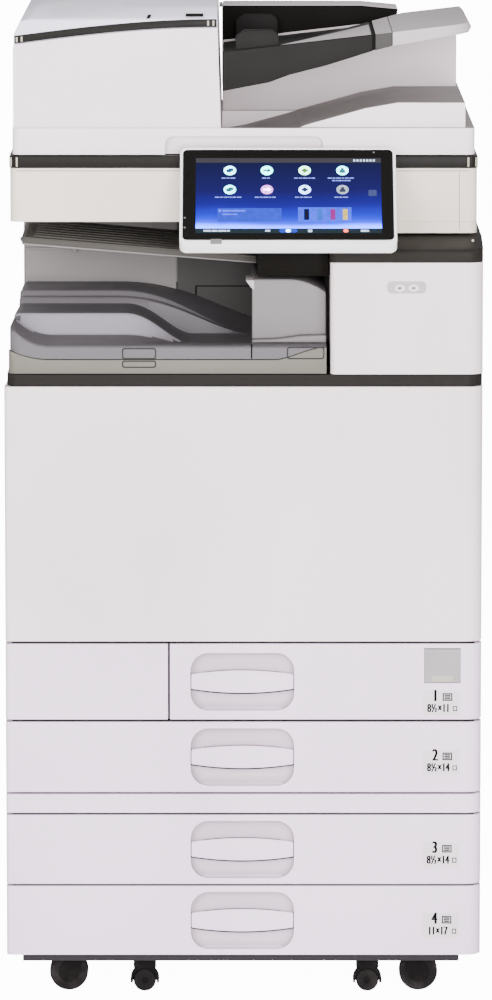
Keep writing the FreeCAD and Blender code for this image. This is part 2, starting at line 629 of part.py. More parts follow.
def power_flap():
    """Translucent flap over the main switch, hinged along its top edge."""
    z1 = D1_Z + DRAWER_1_H - FLAP_DROP
    x0 = FLAP_X - FLAP_W / 2 + 0.6
    x1 = FLAP_X + FLAP_W / 2 - 0.6
    pin_z = z1 - 3.5
    pin_y = FRONT + 3.6
    plate = box(x0, x1, FRONT + 0.6, FRONT + 0.6 + FLAP_T, z1 - FLAP_H + 0.8, pin_z)
    barrel = rod((x0, pin_y, pin_z), (1, 0, 0), 3.0, x1 - x0)
    flap = fuse([plate, barrel])
    bore = rod((x0 - 1, pin_y, pin_z), (1, 0, 0), FLAP_PIN_R + RUN, x1 - x0 + 2)
    return flap.cut(bore)


def power_button():
    """Main switch button."""
    z1 = D1_Z + DRAWER_1_H - FLAP_DROP
    z = z1 - FLAP_H / 2 - 4.5
    y0 = FRONT + 14
    button = rounded_window(FLAP_X - SWITCH_W / 2, FLAP_X + SWITCH_W / 2, z - SWITCH_H / 2, z + SWITCH_H / 2,
                            4, y0, y0 + 22)
    return button


def switch_box():
    """Housing of the main switch on the frame, around the button's rear end."""
    z1 = D1_Z + DRAWER_1_H - FLAP_DROP
    z = z1 - FLAP_H / 2 - 4.5
    y0 = FRONT + DRAWER_T + 1
    body = box(FLAP_X - 16, FLAP_X + 16, y0, FRAME_FRONT + SHEET, z - 19, z + 19)
    well = box(FLAP_X - SWITCH_W / 2 - 0.4, FLAP_X + SWITCH_W / 2 + 0.4, y0 - 1, y0 + 13 + SWITCH_TRAVEL,
               z - SWITCH_H / 2 - 0.4, z + SWITCH_H / 2 + 0.4)
    bracket = box(FLAP_X - 16, FRAME_HALF - SHEET, FRAME_FRONT, FRAME_FRONT + SHEET, z - 19, z + 19)
    return fuse([body, bracket]).cut(well)


# ---------------------------------------------------------------- casters
def caster_brackets():
    """Mounting plates of the swivel casters, hoods of the inner casters and rear caster forks."""
    solids = []
    for side in (-1, 1):
        x = side * (OUTER_CASTER_X - TRAIL)
        plate = box(x - 22, x + 22, OUTER_CASTER_Y - 15, OUTER_CASTER_Y + 22, FLOOR_GAP - 2, FLOOR_GAP)
        stem = rod((x, OUTER_CASTER_Y, FLOOR_GAP - 4.4), (0, 0, 1), 5.0, 3)
        solids.append(fuse([plate, stem]))
        solids.append(rear_fork(side))
    for x in INNER_CASTERS_X:
        solids.append(inner_hood(x))
    return Part.makeCompound(solids)


def rear_fork(side):
    """Fixed fork of a rear caster with its axle."""
    x = side * OUTER_CASTER_X
    half = OUTER_WHEEL_W / 2
    z = OUTER_WHEEL_R
    cheeks = [box(x + s * (half + 2.5) - 1.5, x + s * (half + 2.5) + 1.5, REAR_CASTER_Y - 14, REAR_CASTER_Y + 14,
                  z - 8, FLOOR_GAP - 2) for s in (-1, 1)]
    plate = box(x - 20, x + 20, REAR_CASTER_Y - 24, REAR_CASTER_Y + 24, FLOOR_GAP - 1, FLOOR_GAP)
    bridge = box(x - half - 4, x + half + 4, REAR_CASTER_Y - 14, REAR_CASTER_Y + 14, FLOOR_GAP - 1.6, FLOOR_GAP - 1)
    axle = rod((x - half - 3, REAR_CASTER_Y, z), (1, 0, 0), AXLE_R, 2 * half + 6)
    return fuse(cheeks + [plate, bridge, axle])


def inner_hood(x):
    """Arched hood of an inner caster with its axle."""
    z = INNER_WHEEL_R
    half = INNER_WHEEL_W / 2
    y = INNER_CASTER_Y
    arch = rod((x, y - half, z), (0, 1, 0), INNER_WHEEL_R + 4, 2 * half)
    arch = arch.cut(rod((x, y - half - 1, z), (0, 1, 0), INNER_WHEEL_R + 1, 2 * half - 2))
    arch = arch.cut(box(x - 30, x + 30, y - half - 1, y + half + 1, -10, z - 3))
    post = box(x - 14, x + 14, y - half, y + half, z + INNER_WHEEL_R + 2, FLOOR_GAP)
    axle = rod((x, y - half + 2, z), (0, 1, 0), AXLE_R, 2 * half - 2)
    return fuse([arch, post, axle])


def caster_fork(side):
    """Swivelling fork of an outer caster; its axle runs front to back at rest."""
    pivot = side * (OUTER_CASTER_X - TRAIL)
    x = side * OUTER_CASTER_X
    y = OUTER_CASTER_Y
    half = OUTER_WHEEL_W / 2
    z = OUTER_WHEEL_R
    top = FLOOR_GAP - 2 - REST_GAP
    hub = rod((pivot, y, top - 5), (0, 0, 1), 15, 5).cut(rod((pivot, y, top - 6), (0, 0, 1), 5.0 + RUN, 7))
    cheeks = []
    for s in (-1, 1):
        yc = y + s * (half + 1.75)
        cheek = rod((x, yc - 1.25, z), (0, 1, 0), 13.0, 2.5)
        web = box(min(x, pivot), max(x, pivot), yc - 1.25, yc + 1.25, z, top)
        cheeks.append(fuse([cheek, web]))
    reach = box(pivot - 8, pivot + 8, y - half - 3, y + half + 3, top - 5, top)
    reach = reach.cut(rod((x, y - half - 4, z), (0, 1, 0), OUTER_WHEEL_R + 1, 2 * half + 8))
    reach = reach.cut(rod((pivot, y, top - 6), (0, 0, 1), 5.0 + RUN, 7))
    axle = rod((x, y - half - 2, z), (0, 1, 0), AXLE_R, 2 * half + 4)
    hub = hub.cut(rod((x, y - half - 0.5, z), (0, 1, 0), OUTER_WHEEL_R + 1, 2 * half + 1))
    return fuse([hub, reach, axle] + cheeks)


def wheel(centre, axis, radius, width):
    """Caster wheel with a rounded tread and its bore."""
    start = V(*centre) - V(*axis) * (width / 2)
    tyre = Part.makeCylinder(radius, width, start, V(*axis))
    rims = [e for e in tyre.Edges if e.Curve.TypeId == "Part::GeomCircle"]
    tyre = tyre.makeFillet(2.5, rims)
    return tyre.cut(Part.makeCylinder(AXLE_R + RUN, width + 2, start - V(*axis), V(*axis)))


# ---------------------------------------------------------------- print engine
ENGINE_FRONT = FRAME_FRONT + 4
ENGINE_D = 400.0
STATION_PITCH = 112.0
STATION_X0 = -238.0
BOTTLE_R = 36.0
LASER_Z = DOOR_Z + 12
DRUM_Z = DOOR_Z + 72
BELT_Z = DOOR_Z + 140
DRUM_R = 15.0
DRUM_TOP = DRUM_Z + 46 + DRUM_R
BOTTLE_Z = DOOR_Z + 250


def laser_unit():
    """Flat laser scanning unit under the drum units, on two feet."""
    body = box(-250, 215, ENGINE_FRONT + 20, ENGINE_FRONT + ENGINE_D - 60, LASER_Z, LASER_Z + 52)
    feet = [box(x, x + 30, ENGINE_FRONT + 20, ENGINE_FRONT + ENGINE_D - 60, DOOR_Z, LASER_Z) for x in (-240, 170)]
    return fuse([body] + feet)


def drum_units():
    """Four drum and developer units side by side."""
    solids = []
    for i in range(4):
        x = STATION_X0 + i * STATION_PITCH
        body = box(x, x + 100, ENGINE_FRONT + 2, ENGINE_FRONT + ENGINE_D - 50, DRUM_Z - 8, DRUM_Z + 50)
        drum = rod((x + 40, ENGINE_FRONT + 8, DRUM_Z + 46), (0, 1, 0), DRUM_R, ENGINE_D - 66)
        solids.append(fuse([body, drum]))
    return Part.makeCompound(solids)


def transfer_unit():
    """Flat belt unit over the drums."""
    return box(-240, 222, ENGINE_FRONT + 6, ENGINE_FRONT + ENGINE_D - 50, DRUM_TOP + REST_GAP, BELT_Z + 42)


def toner_bottles():
    """Four toner bottles lying front to back in the inner cover's ports."""
    solids = []
    for i in range(4):
        x = STATION_X0 + 50 + i * STATION_PITCH
        bottle = rod((x, FRAME_FRONT - 12, BOTTLE_Z), (0, 1, 0), BOTTLE_R, 300)
        cap = rod((x, FRAME_FRONT - 18, BOTTLE_Z), (0, 1, 0), BOTTLE_R - 6, 8)
        solids.append(fuse([bottle, cap]))
    return Part.makeCompound(solids)


def inner_cover():
    """Inner front cover behind the door, with four bottle ports and ledges under the bottles."""
    z0 = DOOR_Z + 40
    z1 = TRIM_Z - 6
    y0 = FRAME_FRONT - 8
    plate = box(-FRAME_HALF + 6, FRAME_HALF - 12, y0, y0 + 8, z0, z1)
    for i in range(4):
        x = STATION_X0 + 50 + i * STATION_PITCH
        plate = plate.cut(rod((x, y0 - 1, BOTTLE_Z), (0, 1, 0), BOTTLE_R + 0.5, 10))
    feet = [box(x, x + 20, y0 + 8, y0 + 20, DOOR_Z, z0 + 30) for x in (-FRAME_HALF + 8, FRAME_HALF - 34)]
    lugs = [box(x, x + 20, y0, y0 + 10, z0, z0 + 30) for x in (-FRAME_HALF + 8, FRAME_HALF - 34)]
    return fuse([plate] + feet + lugs)


def fuser_unit():
    """Fusing unit at the right, over the transfer position, on its rails."""
    body = box(238, 276, ENGINE_FRONT + 30, ENGINE_FRONT + ENGINE_D - 60, BELT_Z + 40, BELT_Z + 120)
    legs = [box(250, 268, y, y + 12, DOOR_Z, BELT_Z + 40) for y in (ENGINE_FRONT + 60, ENGINE_FRONT + 300)]
    return fuse([body] + legs)


def drive_unit():
    """Rear drive plate with four drum gears and a motor."""
    y0 = ENGINE_FRONT + ENGINE_D - 20
    plate = box(-250, 230, y0, y0 + 3, DOOR_Z, BOTTLE_Z + 30)
    gears = [rod((STATION_X0 + 50 + i * STATION_PITCH, y0 - 11, DRUM_Z + 30), (0, 1, 0), 38, 12) for i in range(4)]
    motors = [rod((x, y0 + 2, DRUM_Z + 110), (0, 1, 0), 32, 45) for x in (-150, 120)]
    shafts = [rod((STATION_X0 + 50 + i * STATION_PITCH, y0 - 30, DRUM_Z + 30), (0, 1, 0), 5, 21) for i in range(4)]
    return fuse([plate] + gears + motors + shafts)


def controller_box():
    """Shallow controller box on the rear cover with the power inlet's socket."""
    y0 = REAR
    body = box(-190, 170, y0, y0 + REAR_BOX, 470, 750)
    inlet_x = 200
    inlet = box(inlet_x, inlet_x + 36, y0, y0 + 18, 300, 330)
    well = box(inlet_x + 4, inlet_x + 32, y0 + 4, y0 + 19, 304, 326)
    blades = [box(inlet_x + x, inlet_x + x + 2, y0 + 4, y0 + 14, 312, 318) for x in (10, 17, 24)]
    return Part.makeCompound([body, fuse([inlet.cut(well)] + blades)])


# ---------------------------------------------------------------- right door
DOOR_R_Y0 = FRONT + 45
DOOR_R_Y1 = REAR - 120
DOOR_R_Z0 = D2_Z + 104
DOOR_R_Z1 = TRIM_Z - 6
DOOR_R_T = 14.0
BYPASS_T = 6.0
DOOR_R_PIN_R = 2.0
DOOR_R_BARREL_R = 3.4
DOOR_R_PIVOT_IN = 3.4
DOOR_R_PIVOT_UP = 4.5


def right_door():
    """Paper-path door on the right side, hinged at its lower edge on two pins."""
    x1 = COVER_OUT
    x0 = x1 - DOOR_R_T
    slab = box(x1 - COVER, x1, DOOR_R_Y0, DOOR_R_Y1, DOOR_R_Z0, DOOR_R_Z1)
    niche = box(x1 - BYPASS_T - 0.8, x1 + 1, DOOR_R_Y0 + 60, DOOR_R_Y1 - 60, DOOR_R_Z0 + 40, DOOR_R_Z0 + 280)
    back = box(x0, x1, DOOR_R_Y0 + 54, DOOR_R_Y1 - 54, DOOR_R_Z0 + 30, DOOR_R_Z0 + 286)
    door = fuse([slab, back]).cut(niche)
    pins = [rod((x1 - BYPASS_T / 2 - 0.5, y, DOOR_R_Z0 + 46), (0, 1, 0), FLAP_PIN_R, 6)
            for y in (DOOR_R_Y0 + 58, DOOR_R_Y1 - 64)]
    knuckles = []
    for y in (DOOR_R_Y0 + 20, DOOR_R_Y1 - 32):
        barrel_x = x1 - DOOR_R_PIVOT_IN
        barrel_z = DOOR_R_Z0 + DOOR_R_PIVOT_UP
        barrel = rod((barrel_x, y, barrel_z), (0, 1, 0), DOOR_R_BARREL_R, 12)
        knuckles += [barrel, box(barrel_x, x1, y, y + 12, barrel_z - DOOR_R_BARREL_R, DOOR_R_Z0 + 10)]
    door = fuse([door] + pins + knuckles)
    for y in (DOOR_R_Y0 + 20, DOOR_R_Y1 - 32):
        pivot = (x1 - DOOR_R_PIVOT_IN, y - 1, DOOR_R_Z0 + DOOR_R_PIVOT_UP)
        notch = box(x1 - COVER - 0.5, x1 + 1, y - 7, y, DOOR_R_Z0 - 1, DOOR_R_Z0 + 10)
        door = door.cut(rod(pivot, (0, 1, 0), DOOR_R_PIN_R + RUN, 14)).cut(notch)
    return door


def right_door_pins():
    """Hinge pins of the right door, on brackets of the frame."""
    solids = []
    x = COVER_OUT - DOOR_R_PIVOT_IN
    z = DOOR_R_Z0 + DOOR_R_PIVOT_UP
    for y in (DOOR_R_Y0 + 20, DOOR_R_Y1 - 32):
        pin = rod((x, y - 6, z), (0, 1, 0), DOOR_R_PIN_R, 17)
        plate = box(FRAME_HALF - SHEET, x + 2.5, y - 6, y - 3, z - 3, z + 3)
        solids.append(fuse([pin, plate]))
    return solids


def bypass_tray():
    """Hand-feed tray folded into the right door."""
    x1 = COVER_OUT
    x0 = x1 - BYPASS_T
    z0 = DOOR_R_Z0 + 42
    y0 = DOOR_R_Y0 + 60.8
    y1 = DOOR_R_Y1 - 60.8
    tray = box(x0, x1, y0, y1, z0 + 4, DOOR_R_Z0 + 279)
    barrel = rod((x1 - BYPASS_T / 2 - 0.5, y0, z0 + 4), (0, 1, 0), BYPASS_T / 2, y1 - y0)
    bore = rod((x1 - BYPASS_T / 2 - 0.5, y0 - 1, z0 + 4), (0, 1, 0), FLAP_PIN_R + RUN, y1 - y0 + 2)
    grip_slot = box(x1 - 4, x1 + 1, (y0 + y1) / 2 - 40, (y0 + y1) / 2 + 40, DOOR_R_Z0 + 262, DOOR_R_Z0 + 274)
    return fuse([tray, barrel]).cut(bore).cut(grip_slot)


# ---------------------------------------------------------------- scanner
SCAN_HALF = HALF - 6.0


def scanner_housing():
    """Scanner's lower shell with carriage rails, panel arm and the feeder's hinge brackets."""
    y0 = SCANNER_FRONT
    y1 = SCANNER_REAR
    s = SCAN_HALF
    shell = front_rounded(-s, s, y0, y1, SCANNER_Z, SCANNER_TOP, 10, 10)
    inner = front_rounded(-s + WALL, s - WALL, y0 + WALL, y1 - WALL, SCANNER_Z + WALL, SCANNER_TOP + 1, 7, 7)
    drop = front_rounded(s - SCANNER_DROP_W, s, y0, y1, SCANNER_Z - SCANNER_DROP, SCANNER_Z, 2, 10)
    pieces = [soften_front(shell, y0).cut(inner), drop]
    for y in (RAIL_FRONT, RAIL_REAR):
        pieces.append(box(-s + WALL, s - WALL, y, y + 6, SCANNER_Z + WALL, SCANNER_Z + WALL + RAIL_H))
    rear_lid = box(-s, s, TOP_FRAME_REAR + 0.5, y1, SCANNER_TOP - WALL, SCANNER_TOP)
    pieces.append(rear_lid)
    pivot_z = FRAME_TOP + ADF_PIVOT_UP
    for x in (-200, 200):
        ear = box(x - 12, x + 12, TOP_FRAME_REAR + 0.5, ADF_PIVOT_Y + 14, SCANNER_TOP - WALL, SCANNER_TOP + 6)
        post = box(x - 4, x + 4, ADF_PIVOT_Y - 6, ADF_PIVOT_Y + 6, SCANNER_TOP, pivot_z)
        pieces += [ear, post, rod((x - 4, ADF_PIVOT_Y, pivot_z), (1, 0, 0), 6.0, 8), rod((x - 16, ADF_PIVOT_Y, pivot_z), (1, 0, 0), PANEL_PIN_R, 32)]
    return fuse(pieces + panel_arm())


def panel_pivot():
    """(y, z) of the panel's tilt axis, behind the middle of its back."""
    t = math.radians(PANEL_LEAN)
    along = PANEL_L / 2 - 2.0
    y = FRONT - PANEL_REACH + along * math.sin(t) + PANEL_PIVOT_BACK * math.cos(t)
    z = PANEL_Z + along * math.cos(t) - PANEL_PIVOT_BACK * math.sin(t)
    return y, z


def panel_arm():
    """Arm from the scanner's front to the panel's tilt pin."""
    y, z = panel_pivot()
    arm = box(PANEL_X - ARM_W / 2, PANEL_X + ARM_W / 2, y, SCANNER_FRONT + 1, z - 9, z + 9)
    knuckle = rod((PANEL_X - ARM_W / 2, y, z), (1, 0, 0), 9.0, ARM_W)
    pin = rod((PANEL_X - ARM_W / 2 - 9, y, z), (1, 0, 0), PANEL_PIN_R, ARM_W + 18)
    return [arm, knuckle, pin]


RAIL_FRONT = SCANNER_FRONT + 30
RAIL_REAR = SCANNER_FRONT + 410
TOP_FRAME_REAR = 245.0


def scanner_top_frame():
    """Dark frame around the exposure glass, with a skirt at the front and sides."""
    s = SCAN_HALF + 1.0
    y0 = SCANNER_FRONT - 2
    z0 = SCANNER_TOP
    z1 = FRAME_TOP
    outer = front_rounded(-s, s, y0, TOP_FRAME_REAR, z0, z1, 9, 9)
    inner = box(-s + 6, s - 6, y0 + 6, TOP_FRAME_REAR - 4, z0 - 1, z1 - GLASS_T)
    g = 0.2
    window = box(GLASS_X0 - g, GLASS_X0 + GLASS_W + g, GLASS_Y0 - g, GLASS_Y0 + GLASS_D + g, z0, z1 + 1)
    slit = box(GLASS_X0 - 8 - SLIT_W - g, GLASS_X0 - 8 + g, GLASS_Y0 - g, GLASS_Y0 + GLASS_D + g, z0, z1 + 1)
    return outer.cut(inner).cut(window).cut(slit)


GLASS_X0 = -246.0
GLASS_Y0 = -150.0


def platen_glass():
    """Exposure glass and the narrow glass that the feeder reads through."""
    z0 = FRAME_TOP - GLASS_T
    main = box(GLASS_X0, GLASS_X0 + GLASS_W, GLASS_Y0, GLASS_Y0 + GLASS_D, z0, FRAME_TOP)
    slit = box(GLASS_X0 - 8 - SLIT_W, GLASS_X0 - 8, GLASS_Y0, GLASS_Y0 + GLASS_D, z0, FRAME_TOP)
    return Part.makeCompound([main, slit])


def carriage(x0, x1, height):
    """Mirror carriage that lies across both rails."""
    z0 = SCANNER_Z + WALL + RAIL_H + REST_GAP
    y0 = RAIL_FRONT - 6
    y1 = RAIL_REAR + 12
    body = box(x0, x1, y0, y1, z0, z0 + height)
    slot = box(x0 + 8, x1 - 8, y0 + 14, y1 - 14, z0 + 5, z0 + height + 1)
    return body.cut(slot)


# ---------------------------------------------------------------- operation panel
def tilt_panel(shape):
    """Lean a piece drawn upright at the panel's lower front edge."""
    turned = turn_x(shape, -PANEL_LEAN, 0, 0)
    turned.translate(V(0, FRONT - PANEL_REACH, PANEL_Z))
    return turned


def panel_shell():
    """White back shell of the touch panel with two hinge ears."""
    x0 = PANEL_X - PANEL_W / 2
    x1 = PANEL_X + PANEL_W / 2
    body = rounded_window(x0, x1, 0, PANEL_L, 9, 0, PANEL_T)
    seat = rounded_window(x0 + PANEL_RIM, x1 - PANEL_RIM, PANEL_LIP, PANEL_L - PANEL_RIM, 6, -1, PANEL_GLASS_T)
    along = PANEL_L / 2 - 2.0
    ears = []
    for side in (-1, 1):
        inner = PANEL_X + side * (ARM_W / 2 + 0.3)
        outer = inner + side * 8
        a, b = min(inner, outer), max(inner, outer)
        ear = fuse([box(a, b, PANEL_T - 2, PANEL_PIVOT_BACK, along - 8, along + 8),
                    rod((a, PANEL_PIVOT_BACK, along), (1, 0, 0), 8, b - a)])
        ears.append(ear.cut(rod((a - 1, PANEL_PIVOT_BACK, along), (1, 0, 0), PANEL_PIN_R + RUN, b - a + 2)))
    return tilt_panel(fuse([body.cut(seat)] + ears))


def panel_glass():
    """Black glass of the touch panel."""
    x0 = PANEL_X - PANEL_W / 2 + PANEL_RIM + 0.1
    x1 = PANEL_X + PANEL_W / 2 - PANEL_RIM - 0.1
    return tilt_panel(rounded_window(x0, x1, PANEL_LIP + 0.1, PANEL_L - PANEL_RIM - 0.1, 5.9, 0.2, PANEL_GLASS_T))


# ---------------------------------------------------------------- document feeder
ADF_HALF = HALF - ADF_INSET
ADF_FRONT = SCANNER_FRONT + 2
ADF_REAR = ADF_FRONT + ADF_D
FEEDER_X1 = -ADF_HALF + FEEDER_W + 1.5
EXIT_RAMP = [(3.0, -17.5), (80.0, 3.8), (150.0, 23.3), (190.0, 30.3), (273.0, 30.3)]
DOC_FRONT = ADF_FRONT + 13
DOC_REAR = DOC_FRONT + DOC_D
DOC_X0 = FEEDER_X1 + 2.5
DOC_X1 = 281.0
DOC_TOP_Z = FEEDER_BASE_TOP + 93.0
DOC_UNDER = [(32.0, 55.5), (56.0, 64.5), (103.0, 76.5), (157.0, 93.5), (182.0, 100.0), (277.0, 116.0)]


def feeder_split(inset=0.0):
    """Points of the curved seam under the feeder's top cover, left to right."""
    x0 = -ADF_HALF + 2 + inset
    x1 = FEEDER_X1 - 4 - inset
    steps = 12
    points = []
    for i in range(steps + 1):
        u = i / steps
        z = FEEDER_BASE_TOP + FEEDER_LEFT_H + (FEEDER_RIGHT_H - FEEDER_LEFT_H) * math.sin(u * math.pi / 2)
        points.append((x0 + (x1 - x0) * u, z))
    return points


def adf_base():
    """White platen cover: front with a finger recess, and the document exit ramp at the right."""
    s = ADF_HALF
    z0 = FEEDER_Z
    z1 = FEEDER_BASE_TOP
    body = front_rounded(-s, s, ADF_FRONT, ADF_REAR, z0, z1, 10, 10)
    wedge = [(EXIT_RAMP[1][0] - 14, z1 - 1)] + [(x, z1 + z) for x, z in EXIT_RAMP[1:]] + [(EXIT_RAMP[-1][0], z1 - 1)]
    body = fuse([body, prism_xz(wedge, ADF_FRONT + 13, ADF_REAR)])
    x_low = FEEDER_X1 + 1
    dip = [(x_low, z1 + 1), (x_low, z1 - 23), (EXIT_RAMP[0][0], z1 + EXIT_RAMP[0][1]), (70, z1 + 1)]
    body = body.cut(prism_xz(dip, ADF_FRONT + 14, DOC_WALL_Y))
    under = [box(-s + 4, x_low - 6, ADF_FRONT + 18, ADF_REAR - 4, z0 - 1, z1 - 4),
             box(76, s - 4, ADF_FRONT + 18, ADF_REAR - 4, z0 - 1, z1 - 4),
             box(x_low - 7, 77, ADF_FRONT + 18, ADF_REAR - 4, z0 - 1, z0 + PAD_CEILING)]
    for hollow in under:
        body = body.cut(hollow)
    recess = rounded_window(-96.6, 97.7, z0 - 20, z0 + 22.6, 10, ADF_FRONT - 1, ADF_FRONT + 13)
    body = body.cut(recess)
    lugs = []
    pivot_z = FRAME_TOP + ADF_PIVOT_UP
    for x in (-200, 200):
        for side in (-1, 1):
            a = x + side * 4.3
            b = x + side * 13
            lug = fuse([box(min(a, b), max(a, b), ADF_REAR - 5, ADF_PIVOT_Y, pivot_z - 6, pivot_z + 6),
                        rod((min(a, b), ADF_PIVOT_Y, pivot_z), (1, 0, 0), 6, abs(b - a))])
            lugs.append(lug.cut(rod((min(a, b) - 1, ADF_PIVOT_Y, pivot_z), (1, 0, 0), PANEL_PIN_R + RUN, 12)))
    return fuse([body] + lugs)


PAD_CEILING = 5.0
DOC_WALL_Y = DOC_FRONT + 260


def platen_pad():
    """White pad under the platen cover that presses the sheet onto the glass."""
    z0 = FRAME_TOP + 0.5
    return box(GLASS_X0 - 4, GLASS_X0 + GLASS_W + 4, GLASS_Y0 - 4, GLASS_Y0 + GLASS_D + 4,
               z0, FEEDER_Z + PAD_CEILING)


def adf_rear_housing():
    """Grey wall behind the document exit; it carries the document table and rises behind it."""
    z1 = FEEDER_BASE_TOP
    x_low = FEEDER_X1 + 1
    ramp = [(x, z1 + z + 0.05) for x, z in EXIT_RAMP]
    under = [(x, z1 + z - REST_GAP) for x, z in DOC_UNDER]
    outline = [(x_low, z1)] + [(EXIT_RAMP[1][0] - 14, z1)] + ramp[1:-1] + [(270, ramp[-1][1])]
    outline += [(270, z1 + 114.5 - REST_GAP)] + under[-2::-1] + [(0, z1 + 44), (x_low, z1 + 38)]
    low = prism_xz(outline, DOC_WALL_Y, ADF_REAR)
    high = prism_xz([(x_low, z1 + 20), (190, z1 + 90), (198, z1 + 124), (150, z1 + 128.5), (x_low, z1 + 128.5)],
                    DOC_REAR + 1.5, ADF_REAR)
    return fuse([low, high])


def adf_feeder_cover():
    """Closed feeder body at the left: white walls, floor and the roller's bearings."""
    z0 = FEEDER_BASE_TOP
    left = -ADF_HALF + 1
    seam = [(x, z - 0.4) for x, z in feeder_split()]
    outline = [(left, z0), (FEEDER_X1, z0), (FEEDER_X1 - 1.5, z0 + 44), (seam[-1][0], seam[-1][1])]
    outline += seam[-2::-1] + [(left, z0 + 98)]
    body = prism_xz(outline, ADF_FRONT + 4, ADF_REAR)
    inner = [(left + 4, z0 + 4), (FEEDER_X1 - 5, z0 + 4), (FEEDER_X1 - 6, z0 + 44), (seam[-1][0] - 4, z0 + 150),
             (left + 6, z0 + 150), (left + 4, z0 + 98)]
    body = body.cut(prism_xz(inner, ADF_FRONT + 9, ADF_REAR - 5))
    z = z0 + ROLLER_Z
    return body.cut(rod((ROLLER_X, ADF_FRONT + 5.5, z), (0, 1, 0), AXLE_R + RUN, ADF_D - 7))


ROLLER_X = -62.0
ROLLER_Z = 92.0


def adf_feed_roller():
    """Feed roller with its shaft, running in the feeder body's walls."""
    z = FEEDER_BASE_TOP + ROLLER_Z
    y0 = ADF_FRONT + 6
    shaft = rod((ROLLER_X, y0, z), (0, 1, 0), AXLE_R, ADF_D - 8)
    drums = [rod((ROLLER_X, y0 + y, z), (0, 1, 0), ROLLER_R, 46) for y in (100, 190, 280)]
    return fuse([shaft] + drums)


def adf_top_cover():
    """Curved lid of the feeder with a front face that leans back, hollow underneath."""
    seam = feeder_split()
    top = FEEDER_BASE_TOP + FEEDER_TOP
    x0, z0 = seam[0]
    x1 = seam[-1][0]
    crown = [(x1, top - 1)]
    steps = 10
    for i in range(steps + 1):
        u = i / steps
        crown.append((x1 - 60 - (x1 - 60 - x0 - 8) * u, top - 17 * (1 - math.cos(u * math.pi / 2)) ** 1.2))
    outline = seam + crown + [(x0, z0 + 12)]
    lid = prism_xz(outline, ADF_FRONT + 5, ADF_REAR)
    side = [(ADF_FRONT + 5, z0 - 5), (ADF_FRONT + 5, z0 + 30), (ADF_FRONT + 9, z0 + 33)]
    side += [(ADF_FRONT + 9 + 44 * u, z0 + 33 + (top + 1 - z0 - 33) * math.sin(u * math.pi / 2))
             for u in (0.2, 0.4, 0.6, 0.8, 1.0)]
    side += [(ADF_REAR, top + 1), (ADF_REAR, z0 - 5)]
    lid = lid.common(prism_yz(side, x0 - 1, x1 + 1))
    low = [(x, z) for x, z in feeder_split(WALL + 1)]
    hollow = [(low[0][0], low[0][1] - 12)] + [(low[-1][0], low[0][1] - 12)] + [(low[-1][0], top - 8)]
    hollow += [(x0 + 90, top - 9), (x0 + 40, top - 16), (low[0][0] + 4, z0 + 8)]
    return lid.cut(prism_xz(hollow, ADF_FRONT + 58, ADF_REAR - 5))


def doc_top(x):
    """Height of the document table's top at x."""
    return DOC_TOP_Z + DOC_RISE * (x - DOC_X0) / (DOC_X1 - DOC_X0)


def doc_floor(x):
    """Height of the table's sunken paper surface at x."""
    return doc_top(x) - 11.0


def adf_doc_tray():
    """Document table, rising to the right, with a sunken paper surface."""
    z1 = FEEDER_BASE_TOP
    under = [(x, z1 + z) for x, z in DOC_UNDER]
    outline = [(DOC_X0, z1 + 44.5)] + under + [(DOC_X1, doc_top(DOC_X1) - 6), (DOC_X1 - 5, doc_top(DOC_X1 - 5))]
    outline += [(DOC_X0, doc_top(DOC_X0))]
    table = prism_xz(outline, DOC_FRONT, DOC_REAR)
    plan = front_rounded(DOC_X0 - 1, DOC_X1 + 1, DOC_FRONT, DOC_REAR, z1, z1 + 200, 1, 34)
    table = table.common(plan)
    sunk = prism_xy([(DOC_X0 - 1, DOC_FRONT + DOC_RIM), (52, DOC_FRONT + DOC_RIM), (203, DOC_REAR + 1), (DOC_X0 - 1, DOC_REAR + 1)],
                    z1, z1 + 200)
    over = prism_xz([(DOC_X0 - 1, doc_floor(DOC_X0 - 1)), (210, doc_floor(210)), (210, z1 + 250), (DOC_X0 - 1, z1 + 250)],
                    DOC_FRONT, DOC_REAR + 1)
    return table.cut(sunk.common(over))


def doc_fence(y0):
    """Document side fence that stands on the sunken surface."""
    x0 = -10.0
    x1 = 44.0
    outline = [(x0, doc_floor(x0) + REST_GAP), (x1, doc_floor(x1) + REST_GAP), (x1, doc_floor(x1) + 18),
               (x1 - 3, doc_floor(x1) + 25), (x1 - 10, doc_floor(x1) + 29), (x0, doc_floor(x1) + 29)]
    return prism_xz(outline, y0, y0 + FENCE_T)


